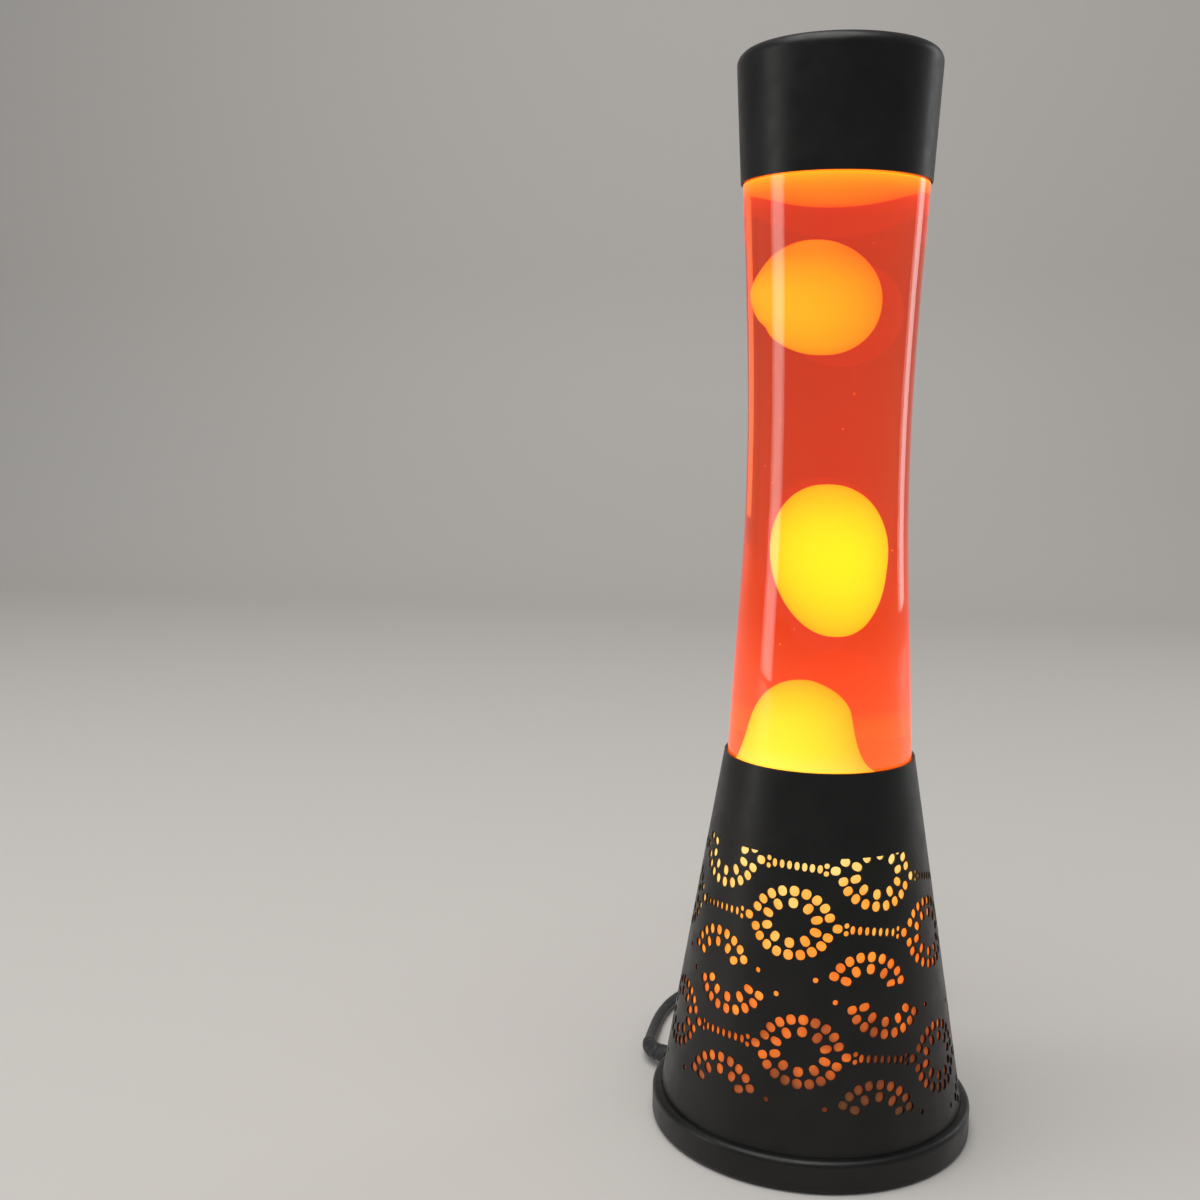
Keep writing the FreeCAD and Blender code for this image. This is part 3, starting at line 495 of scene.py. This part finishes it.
def strain_relief(name, line, reach, wide, narrow, mat):
    """A ribbed tapering sleeve over the first stretch of a cord, in metres."""
    rings, travelled = [], 0.0
    fine = []
    for a, b in zip(line, line[1:]):
        parts = max(1, int((b - a).length / RELIEF_STEP))
        for index in range(parts):
            fine.append(a.lerp(b, index / parts))
    for a, b in zip(fine, fine[1:]):
        if travelled > reach:
            break
        share = travelled / reach
        wave = math.sin(share * 2 * math.pi * RELIEF_GROOVES)
        grooved = GROOVED_SHARE[0] < share < GROOVED_SHARE[1] and wave < GROOVE_LEVEL
        groove = GROOVE_DEPTH if grooved else 0.0
        rings.append((a, (b - a).normalized(), wide + (narrow - wide) * share - groove))
        travelled += (b - a).length
    rings = [(rings[0][0], rings[0][1], CORD_RADIUS * MM)] + rings
    rings.append((rings[-1][0], rings[-1][1], CORD_RADIUS * MM))

    def point(ring, turn):
        centre, along, radius = rings[ring]
        side = along.cross(Vector((0, 0, 1))).normalized()
        up = side.cross(along)
        return tuple(centre + side * (radius * math.cos(turn)) + up * (radius * math.sin(turn)))
    mesh = lathe(name, len(rings), point, RELIEF_SIDES)
    return new_object(name, mesh, mat, "base")


def make_cords(sheath, moulded):
    lamp_side = cord_curve("cord_to_switch", LAMP_TO_SWITCH, sheath, ["cord_lamp_side"])
    line = centreline(lamp_side)
    relief = strain_relief("gland_relief", line, *GLAND_RELIEF, moulded)
    tuple(line[0])
    round(length_of(line), 3)
    points = SWITCH_TO_COIL + [COIL_LEAD_IN] + coil_points() + COIL_TO_PLUG
    plug_side = cord_curve("cord_to_plug", points, sheath,
                           ["cord_switch_side", "cord_coil", "cord_plug_side"])
    line = centreline(plug_side)
    tail = [spot for spot in reversed(line) if spot.x > PLUG_END_X]
    boot = strain_relief("plug_relief", tail, *PLUG_RELIEF, moulded)
    tuple(line[0])
    round(length_of(line), 3)


# ---------------------------------------------------------------- perforated sleeves

CONE_TOP = 143.7
RIM_RADIUS = 35.25
TAPER = 0.1648
SHEET = 0.8
FLAT_SINE = math.sin(math.atan(TAPER))
SHEET_MIDDLE = -25.0
COLUMN_PITCH = 60.2
ROW_PITCH = 20.0
INNER_CELLS = 10
OUTER_CELLS = 20
INNER_OVAL = (9.3, 7.0)
OUTER_OVAL = (13.95, 11.2)
TIP_REACH = 16.4
BEADS = 7
BEAD_REACH = 8.2
CELL_SIZE = (1.76, 1.84)
INNER_STRETCH = (-0.26, 0.26)
OUTER_STRETCH = (-0.18, -0.02)
BEAD_SIZE = (0.95, 1.5)
DOT_SIZE = (0.95, 0.95)
SEAM_MARGIN = 3.0
SQUARENESS = 2.35
DOT_GAP = 2.3
DOT_LIFT = 1.35
COLUMNS = range(-4, 5)
SHEET_AROUND = 120
SHEET_TALL = 12
LARGE_CELL = 1.2
LARGE_CELL_POINTS = 16
SMALL_CELL_POINTS = 12
CELL_CLEARANCE_SQUARED = 6.5
SHEET_WELD = 2e-6
SHARP_ANGLE = 50
WHOLE = (-99, 99)
BELOW_MIDDLE = (1.0, 99)
ABOVE_MIDDLE = (-99, -1.0)
UPPER_SLEEVE = (69.0, 114.5)
LOWER_SLEEVE = (9.6, 69.0)
UPPER_STRIP = (67.0, 116.0)
LOWER_STRIP = (14.0, 67.0)
UPPER_START = (-10.3, 91.6)
LOWER_START = (-3.8, 47.7)


def cell_size(stretch, turn):
    """Half width and half height of a ring's cell; stretch is added at the ring's ends."""
    share = abs(math.cos(turn))
    return CELL_SIZE[0] + stretch[0] * share, CELL_SIZE[1] + stretch[1] * share


def ring_cells():
    """One ring of the pattern: (along, down, half width, half height, turn) of each cell."""
    cells = []
    for index in range(INNER_CELLS):
        turn = math.radians(90 + 360 * index / INNER_CELLS)
        cells.append((INNER_OVAL[0] * math.cos(turn), -INNER_OVAL[1] * math.sin(turn),
                      *cell_size(INNER_STRETCH, turn), turn))
    for index in range(OUTER_CELLS):
        turn = math.radians(90 + 360 * index / OUTER_CELLS)
        across = TIP_REACH if index % (OUTER_CELLS // 2) == OUTER_CELLS // 4 else OUTER_OVAL[0]
        cells.append((across * math.cos(turn), -OUTER_OVAL[1] * math.sin(turn),
                      *cell_size(OUTER_STRETCH, turn), turn))
    return cells


def chain_cells():
    """The beads between a ring and the next one along its row."""
    middle = COLUMN_PITCH / 2
    cells = []
    for index in range(BEADS):
        along = middle + BEAD_REACH * (2 * index / (BEADS - 1) - 1)
        cells.append((along, 0.0, *BEAD_SIZE, math.pi / 2))
    for side in (-1, 1):
        for lift in (-DOT_LIFT, DOT_LIFT):
            cells.append((middle + side * (BEAD_REACH + DOT_GAP), lift, *DOT_SIZE, 0.0))
    return cells


def slant_at(height):
    """Distance from the flat sheet's centre of a height on the cone."""
    return (RIM_RADIUS + (CONE_TOP - height) * TAPER) / FLAT_SINE


def flat_cells(azimuth, height, rows, low, high):
    """Cells of one strip as (x, y, half width, half height, turn) on the flat sheet."""
    angle = math.radians(azimuth - SHEET_MIDDLE) * FLAT_SINE
    first = (slant_at(height) * math.sin(angle), slant_at(height) * math.cos(angle))
    cells = []
    for row, above, below in rows:
        shift = COLUMN_PITCH / 2 if row % 2 else 0.0
        for column in COLUMNS:
            for along, down, wide, tall, turn in ring_cells() + chain_cells():
                if not above < down < below:
                    continue
                x = first[0] + shift + column * COLUMN_PITCH + along
                y = first[1] + row * ROW_PITCH + down
                slant, angle = math.hypot(x, y), math.atan2(x, y)
                if abs(angle) > math.pi * FLAT_SINE - SEAM_MARGIN / slant:
                    continue
                if slant_at(high) < slant < slant_at(low):
                    cells.append((x, y, wide, tall, turn))
    return cells


def cell_loop(x, y, wide, tall, turn, count):
    """A pebble-shaped hole: a slightly squared oval."""
    spots = []
    for index in range(count):
        step = 2 * math.pi * (index + 0.5) / count
        c, s = math.cos(step), math.sin(step)
        reach = (abs(c) ** SQUARENESS + abs(s) ** SQUARENESS) ** (-1 / SQUARENESS)
        across, along = wide * reach * c, tall * reach * s
        spots.append(Vector((x - across * math.sin(turn) + along * math.cos(turn),
                             y - across * math.cos(turn) - along * math.sin(turn))))
    return spots


def fret_sleeve(name, low, high, cells, mat, node):
    """A sheet with its holes, meshed flat, then rolled into the cone and given its thickness."""
    half = math.pi * FLAT_SINE
    inner, outer = slant_at(high), slant_at(low)
    tall = SHEET_TALL
    arc = [half * (2 * index / SHEET_AROUND - 1) for index in range(SHEET_AROUND + 1)]
    edge = [(outer, angle) for angle in arc]
    edge += [(outer + (inner - outer) * index / tall, half) for index in range(1, tall)]
    edge += [(inner, angle) for angle in reversed(arc)]
    edge += [(inner + (outer - inner) * index / tall, -half) for index in range(1, tall)]
    spots = [Vector((slant * math.sin(angle), slant * math.cos(angle))) for slant, angle in edge]
    loops = [list(reversed(range(len(spots))))]
    for cell in cells:
        count = LARGE_CELL_POINTS if cell[2] > LARGE_CELL else SMALL_CELL_POINTS
        loops.append(list(range(len(spots), len(spots) + count)))
        spots += cell_loop(*cell, count)
    for row in range(1, tall):
        slant = outer + (inner - outer) * row / tall
        for angle in arc[1:-1]:
            spot = Vector((slant * math.sin(angle), slant * math.cos(angle)))
            if all((spot.x - cell[0]) ** 2 + (spot.y - cell[1]) ** 2 > CELL_CLEARANCE_SQUARED
                   for cell in cells):
                spots.append(spot)
    flat, _, faces, _, _, origins = delaunay_2d_cdt(spots, [], loops, 1, 1e-5)
    faces = [face for face, origin in zip(faces, origins) if set(origin) == {0}]
    used = sorted({index for face in faces for index in face})
    place = {index: order for order, index in enumerate(used)}
    lean = math.atan(TAPER)
    verts = []
    for index in used:
        radius = flat[index].length * FLAT_SINE
        turn = math.atan2(flat[index].x, flat[index].y) / FLAT_SINE
        turn += math.radians(SHEET_MIDDLE)
        height = CONE_TOP - (radius - RIM_RADIUS) / TAPER
        verts.append((radius * math.sin(turn) * MM, -radius * math.cos(turn) * MM, height * MM))
    front = [tuple(place[index] for index in face) for face in faces]
    sheet = bpy.data.meshes.new(name + "_sheet")
    sheet.from_pydata(verts, [], front)
    work = bmesh.new()
    work.from_mesh(sheet)
    bmesh.ops.remove_doubles(work, verts=work.verts, dist=SHEET_WELD)
    bmesh.ops.recalc_face_normals(work, faces=work.faces)
    outer_faces = list(work.faces)
    twins = {}
    for vert in list(work.verts):
        out = Vector((vert.co.x, vert.co.y, 0)).normalized()
        shift = out * math.cos(lean) + Vector((0, 0, math.sin(lean)))
        twins[vert] = work.verts.new(vert.co - shift * (SHEET * MM))
    rims = [edge for edge in work.edges if len(edge.link_faces) == 1]
    for face in outer_faces:
        work.faces.new([twins[vert] for vert in reversed(face.verts)])
    for rim in rims:
        a, b = rim.verts
        work.faces.new((a, b, twins[b], twins[a]))
    bmesh.ops.recalc_face_normals(work, faces=work.faces)
    mesh = bpy.data.meshes.new(name)
    work.to_mesh(mesh)
    work.free()
    bpy.data.meshes.remove(sheet)
    mesh.polygons.foreach_set("use_smooth", [True] * len(mesh.polygons))
    mesh.set_sharp_from_angle(angle=math.radians(SHARP_ANGLE))
    new_object(name, mesh, mat, "base", [node])


def make_sleeves(mat):
    rows = ((-1, *WHOLE), (0, *WHOLE), (1, *ABOVE_MIDDLE))
    cells = flat_cells(*UPPER_START, rows, *UPPER_STRIP)
    fret_sleeve("upper_sleeve", *UPPER_SLEEVE, cells, mat, "fret_sleeve_upper")
    rows = ((-1, *BELOW_MIDDLE), (0, *WHOLE), (1, *ABOVE_MIDDLE))
    cells = flat_cells(*LOWER_START, rows, *LOWER_STRIP)
    fret_sleeve("lower_sleeve", *LOWER_SLEEVE, cells, mat, "fret_sleeve_lower")


# ---------------------------------------------------------------- bottle and contents

BOTTLE_SIDE = [(33.8, 138.0), (34.1, 143.7), (31.95, 185.0), (29.85, 226.3), (29.55, 267.6),
               (30.95, 308.8), (32.75, 343.0), (32.6, 352.0), (28.6, 363.0), (20.0, 371.0),
               (14.6, 376.0), (13.2, 382.0)]
BOTTLE_FLOOR = 126.0
BOTTLE_WALL = 2.2
LIQUID_OVERLAP = 0.12
LIQUID_TOP = 350.0
BLOB_STEPS = 96
SPECKS = 46
FLUTES = 21
FLUTE_STEPS = 12
FLUTE_DEPTH = 0.4
WIRE_TURNS = 72
WIRE_STEPS = 10
WIRE_RADIUS = 0.00038
WIRE_INSET = 0.0004


def bottle_line(inset):
    return [(r - inset, z) for r, z in catmull(BOTTLE_SIDE, 10)]


def bottle_foot(inset):
    """From the middle of the floor out to the bottom of the side."""
    low = BOTTLE_FLOOR + inset
    reach = BOTTLE_SIDE[0][0] - inset
    corner = catmull([(reach - 7.0, low), (reach - 3.4, low + 0.9), (reach - 1.1, low + 3.6),
                      (reach - 0.25, low + 8.0), (reach, BOTTLE_SIDE[0][1])], 8)
    return [(0.0, low + 0.8), (8.0, low + 0.75), (16.0, low + 0.5)] + corner[:-1]


def make_bottle(mat):
    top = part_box("glass_bottle")[1].z / MM
    neck = BOTTLE_SIDE[-1][0]
    outside = bottle_foot(0.0) + bottle_line(0.0)
    rim = [(neck, top - 4.2), (neck + 0.45, top - 3.2), (neck + 0.6, top - 2.4),
           (neck + 0.5, top - 1.0), (neck - 0.1, top - 0.05), (neck - 1.1, top),
           (neck - BOTTLE_WALL + 0.1, top - 0.2)]
    inside = bottle_foot(BOTTLE_WALL) + bottle_line(BOTTLE_WALL)
    profile = [(r * MM, z * MM) for r, z in outside + rim + inside[::-1]]
    new_object("bottle", turned("bottle", profile), mat, "bottle",
               ["glass_bottle"])


def make_liquid(mat):
    inset = BOTTLE_WALL - LIQUID_OVERLAP
    side = [spot for spot in bottle_line(inset) if spot[1] < LIQUID_TOP - 0.5]
    edge = side[-1][0]
    surface = [(edge, LIQUID_TOP + 0.25), (edge - 0.5, LIQUID_TOP + 0.05),
               (edge - 1.4, LIQUID_TOP), (edge * 0.5, LIQUID_TOP), (0.0, LIQUID_TOP)]
    profile = [(r * MM, z * MM) for r, z in bottle_foot(inset) + side + surface]
    new_object("orange_liquid", turned("orange_liquid", profile), mat, "bottle",
               ["liquid"])


def blob(name, outline, mat, body, node, bulge=None, ripple=0.25):
    """Wax turned about a leaning line; outline lists (height, left, right) as seen from -Y."""
    left = catmull([(row[0], row[1]) for row in outline], 14)
    right = catmull([(row[0], row[2]) for row in outline], 14)
    seed = Vector((outline[0][0], outline[-1][0], 3.0))

    def point(ring, turn):
        height, west = left[ring]
        east = right[ring][1]
        centre, radius = (west + east) / 2, (east - west) / 2
        if bulge:
            radius += bulge(height, turn) * min(1.0, radius / 6.0)
        spot = Vector((centre + radius * math.cos(turn), radius * math.sin(turn), height))
        swell = 0.012 * noise.noise(spot * 0.09 + seed)
        spot += (spot - Vector((centre, 0, height))) * swell
        spot.z += ripple * noise.noise(spot * 0.07 + seed * 2) * min(1.0, radius / 8.0)
        return tuple(spot * MM)
    new_object(name, lathe(name, len(left), point, BLOB_STEPS), mat, body, [node])


def round_outline(bottom, top, widest, left, right, tip_x, foot_x, fullness):
    """Outline of a drop: (height, left, right) rows on two half ovals."""
    rows = []
    for index in range(17):
        angle = math.pi * (index / 16 - 0.5)
        swing = math.sin(angle)
        span = (top - widest) if swing > 0 else (widest - bottom)
        height = widest + span * swing
        wide = math.cos(angle) ** fullness if index not in (0, 16) else 0.0
        middle = tip_x if swing > 0 else foot_x
        share = abs(swing) ** 1.5
        centre = (left + right) / 2 * (1 - share) + middle * share
        half = (right - left) / 2
        rows.append((height, centre - half * wide, centre + half * wide))
    return rows


def make_wax():
    # Painted light: each ramp below is a wax piece's glow from its bottom to its top.
    yellow = ((0.0, (0.52, 1.0, 0.0)), (0.5, (0.52, 0.93, 0.0)), (0.9, (0.52, 0.82, 0.0)),
              (1.0, (0.54, 0.90, 0.0)))
    middle = warm_wax("wax_middle", 0.187, 0.2445, yellow, 2.2)
    amber = ((0.0, (0.70, 0.80, 0.0)), (0.2, (0.72, 0.68, 0.0)), (0.55, (0.74, 0.58, 0.0)),
             (0.88, (0.74, 0.46, 0.0)), (1.0, (0.74, 0.66, 0.0)))
    upper = warm_wax("wax_upper", 0.2895, 0.331, amber, 1.5)
    lemon = ((0.0, (0.46, 0.90, 0.42)), (0.24, (0.46, 0.92, 0.20)), (0.42, (0.46, 0.97, 0.02)),
             (0.9, (0.46, 1.0, 0.0)), (1.0, (0.50, 1.0, 0.05)))
    mound = warm_wax("wax_mound", 0.129, 0.172, lemon, 2.25)
    orange = ((0.0, (0.80, 0.44, 0.0)), (0.6, (0.85, 0.30, 0.0)), (1.0, (0.9, 0.36, 0.0)))
    lens = warm_wax("wax_lens", 0.3418, LIQUID_TOP * MM, orange, 1.2)

    outline = round_outline(187.9, 243.8, 219.5, -14.9, 16.7, 0.4, 3.4, 0.92)
    blob("middle_blob", outline, middle, "middle_blob", "wax_blob_middle")

    def nose(height, turn):
        """A blunt point on the left and a shallow dent below it."""
        west = math.cos(turn - math.pi)
        point = 1.9 * max(0.0, west) ** 6 * math.exp(-((height - 313.2) / 5.6) ** 2)
        dent = 1.1 * max(0.0, west) ** 8 * math.exp(-((height - 300.3) / 2.0) ** 2)
        return point - dent
    outline = round_outline(290.0, 330.4, 310.0, -20.9, 12.8, -5.0, -2.6, 0.94)
    blob("upper_blob", outline, upper, "upper_blob", "wax_blob_upper", nose)

    rows = [(129.0, -0.1, 0.1), (129.02, -22.0, 17.5), (131.5, -25.2, 19.0), (134.5, -24.4, 18.0),
            (136.8, -23.4, 15.6), (139.5, -22.4, 13.2), (143.0, -21.5, 11.6), (148.0, -20.4, 10.2),
            (153.0, -19.4, 9.2), (157.5, -18.4, 8.6), (161.0, -17.3, 7.9), (164.5, -15.7, 6.2),
            (167.7, -13.4, 3.4), (170.0, -10.6, 0.2), (171.2, -7.6, -2.4), (171.5, -5.0, -4.9)]
    blob("mound", rows, mound, "bottle", "wax_mound")

    top = LIQUID_TOP - 0.15
    rows = [(341.9, -0.6, -0.5), (342.1, -6.6, 5.4), (342.9, -11.0, 9.8), (344.2, -15.2, 14.0),
            (345.8, -19.0, 17.8), (347.4, -22.4, 21.2), (348.8, -25.2, 24.2),
            (top - 0.1, -26.6, 26.0), (top, -26.4, 25.8), (top + 0.01, -0.6, -0.5)]
    blob("floating_wax", rows, lens, "bottle", "wax_lens", ripple=0.05)


def make_specks(mat):
    """Grains of wax drifting in the liquid."""
    work = bmesh.new()
    for index in range(SPECKS):
        turn = index * 2.39996
        reach = 0.006 + 0.0195 * ((index * 0.618) % 1.0)
        height = 0.176 + 0.160 * ((index * 0.754877) % 1.0)
        size = 0.00012 + 0.00014 * ((index * 0.569840) % 1.0)
        place = Matrix.Translation((reach * math.cos(turn), reach * math.sin(turn), height))
        bmesh.ops.create_icosphere(work, subdivisions=1, radius=size, matrix=place)
    mesh = bpy.data.meshes.new("wax_specks")
    work.to_mesh(mesh)
    work.free()
    new_object("wax_specks", mesh, mat, "bottle")


def make_wire_ring(mat):
    """The ring of closely wound wire on the bottle's floor."""
    low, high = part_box("coil_ring")
    ring_radius = (high.x - low.x) / 2 - (high.z - low.z) / 2
    tube = (high.z - low.z) / 2 - WIRE_INSET
    centre = (high.z + low.z) / 2
    data = bpy.data.curves.new("wire_ring", "CURVE")
    data.dimensions = "3D"
    spline = data.splines.new("POLY")
    count = WIRE_TURNS * WIRE_STEPS
    spline.points.add(count - 1)
    for index, spot in enumerate(spline.points):
        around = 2 * math.pi * index / count
        coil = 2 * math.pi * index / WIRE_STEPS
        reach = ring_radius + tube * math.cos(coil)
        spot.co = (reach * math.cos(around), reach * math.sin(around),
                   centre + tube * math.sin(coil), 1)
    spline.use_cyclic_u = True
    data.bevel_depth = WIRE_RADIUS
    data.bevel_resolution = 2
    data.materials.append(mat)
    piece = bpy.data.objects.new("wire_ring", data)
    scene.collection.objects.link(piece)
    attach(piece, "bottle")
    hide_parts("coil_ring")


def make_closure(mat):
    """The pressed crown closure with its fluted skirt."""
    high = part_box("crown_closure")[1]
    wide, top = high.x / MM, high.z / MM
    profile = [(0.0, top - 0.35), (wide - 2.75, top - 0.35), (wide - 2.25, top - 1.0),
               (wide - 1.6, top - 3.0), (wide - 0.95, top - 5.2), (wide - 0.7, top - 5.75),
               (wide - 0.45, top - 5.75), (wide - 0.45, top - 5.3), (wide - 0.85, top - 4.0),
               (wide - 1.5, top - 2.0), (wide - 1.95, top - 0.9), (wide - 2.4, top - 0.25),
               (wide - 3.2, top), (0.0, top)]

    def point(ring, turn):
        reach, height = profile[ring]
        share = min(1.0, max(0.0, (top - 1.0 - height) / 4.0))
        reach += FLUTE_DEPTH * share * math.cos(FLUTES * turn)
        return reach * math.cos(turn) * MM, reach * math.sin(turn) * MM, height * MM
    mesh = lathe("fluted_closure", len(profile), point, FLUTES * FLUTE_STEPS)
    new_object("fluted_closure", mesh, mat, "bottle", ["crown_closure"])


# ---------------------------------------------------------------- stage and light

STAGE_HALF_WIDTH = 4.0
STAGE_FRONT = -3.0
STAGE_BACK = 1.4
STAGE_CURVE = 0.5
STAGE_CURVE_STEPS = 12
STAGE_HEIGHT = 3.5


def make_stage():
    """A pale floor that curves up into a wall."""
    floor = plain("floor_pale", (0.62, 0.60, 0.57), 0.6)
    verts, faces = [], []
    depth = [(STAGE_FRONT, 0.0), (STAGE_BACK, 0.0)]
    for index in range(1, STAGE_CURVE_STEPS + 1):
        turn = math.pi / 2 * index / STAGE_CURVE_STEPS
        depth.append((STAGE_BACK + STAGE_CURVE * math.sin(turn),
                      STAGE_CURVE - STAGE_CURVE * math.cos(turn)))
    depth.append((STAGE_BACK + STAGE_CURVE, STAGE_HEIGHT))
    for y, z in depth:
        verts += [(-STAGE_HALF_WIDTH, y, z), (STAGE_HALF_WIDTH, y, z)]
    for index in range(len(depth) - 1):
        a = 2 * index
        faces.append((a, a + 1, a + 3, a + 2))
    mesh = bpy.data.meshes.new("floor")
    mesh.from_pydata(verts, [], faces)
    mesh.polygons.foreach_set("use_smooth", [True] * len(mesh.polygons))
    mesh.materials.append(floor)
    piece = bpy.data.objects.new("floor", mesh)
    scene.collection.objects.link(piece)


def area_light(name, place, target, size, power, colour):
    data = bpy.data.lights.new(name, "AREA")
    data.shape = "RECTANGLE"
    data.size, data.size_y = size
    data.energy = power
    data.color = colour
    light = bpy.data.objects.new(name, data)
    light.location = place
    aim = Vector(target) - Vector(place)
    light.rotation_euler = aim.to_track_quat("-Z", "Y").to_euler()
    scene.collection.objects.link(light)


def make_light():
    world = bpy.data.worlds.new("studio")
    world.use_nodes = True
    backdrop = world.node_tree.nodes["Background"]
    backdrop.inputs["Color"].default_value = (0.88, 0.90, 0.95, 1.0)
    backdrop.inputs["Strength"].default_value = 0.26
    scene.world = world
    area_light("top", (-0.3, -0.4, 2.0), (0, 0, 0.1), (1.8, 1.8), 34.0, (1.0, 0.985, 0.96))
    area_light("strip", (-1.5, -0.35, 0.55), (0, 0, 0.25), (0.5, 1.1), 3.2, (1.0, 0.98, 0.95))
    area_light("rim", (1.1, 0.9, 0.6), (0, 0, 0.25), (0.35, 1.1), 2.4, (0.95, 0.97, 1.0))


# ---------------------------------------------------------------- all together

def dress_nodes(moulded):
    lacquer, steel, metal = black_lacquer(), dark_steel(), zinc()
    gold, gum, soft, resin = brass(), rubber(), silicone(), bakelite()
    finishes = {
        lacquer: ("shade_collar", "foot_ring", "top_cap"),
        steel: ("bottom_cover", "bottle_seat", "holder_plate"),
        metal: ("cover_screws", "clamp_screws", "switch_screws", "plug_pins", "bulb_contact"),
        gum: ("rubber_pads",),
        soft: ("seat_gasket", "closure_seal"),
        resin: ("holder_ring_nuts", "holder_body", "holder_cap", "bulb_insulator"),
        gold: ("holder_thread", "holder_contact", "bulb_screw_cap", "switch_contacts"),
        moulded: ("cord_gland", "cord_clamp", "switch_base", "switch_cover", "switch_rocker",
                  "plug_body", "cord_tail"),
        lit_liner("lit_liner"): ("diffuser_upper", "diffuser_lower"),
        reflector_glass(): ("bulb_glass",),
        stem_glass(): ("bulb_stem",),
    }
    for mat, names in finishes.items():
        for name in names:
            dress(name, mat)
    filament = plain("lit_filament", (1.0, 0.8, 0.5), 0.5)
    heat = colour_ramp(filament, grain(filament, 400, MEDIUM_DETAIL), (
        (0.0, (1, 0.6, 0.3)), (1.0, (1, 0.8, 0.5))))
    glow(filament, heat, 6.0)
    dress("bulb_filament", filament)
    cores = plain("core_sleeves", (0.20, 0.08, 0.03), 0.4)
    vary_colour(cores, (0.16, 0.06, 0.02), (0.26, 0.11, 0.05), 300)
    dress("supply_cores", cores)
    return lacquer, metal


def make_all():
    make_camera()
    moulded = moulded_black()
    make_cords(cord_sheath(), moulded)
    lacquer, metal = dress_nodes(moulded)
    make_sleeves(lacquer)
    make_bottle(clear_glass())
    make_liquid(orange_liquid())
    make_wax()
    # Painted glints: the specks are given a glow like the lit wax.
    speckle = ((0.0, (1.0, 0.85, 0.2)), (1.0, (1.0, 0.6, 0.1)))
    make_specks(warm_wax("wax_speck", 0.17, 0.34, speckle, 1.6))
    make_wire_ring(metal)
    make_closure(metal)
    make_stage()
    make_light()


make_all()
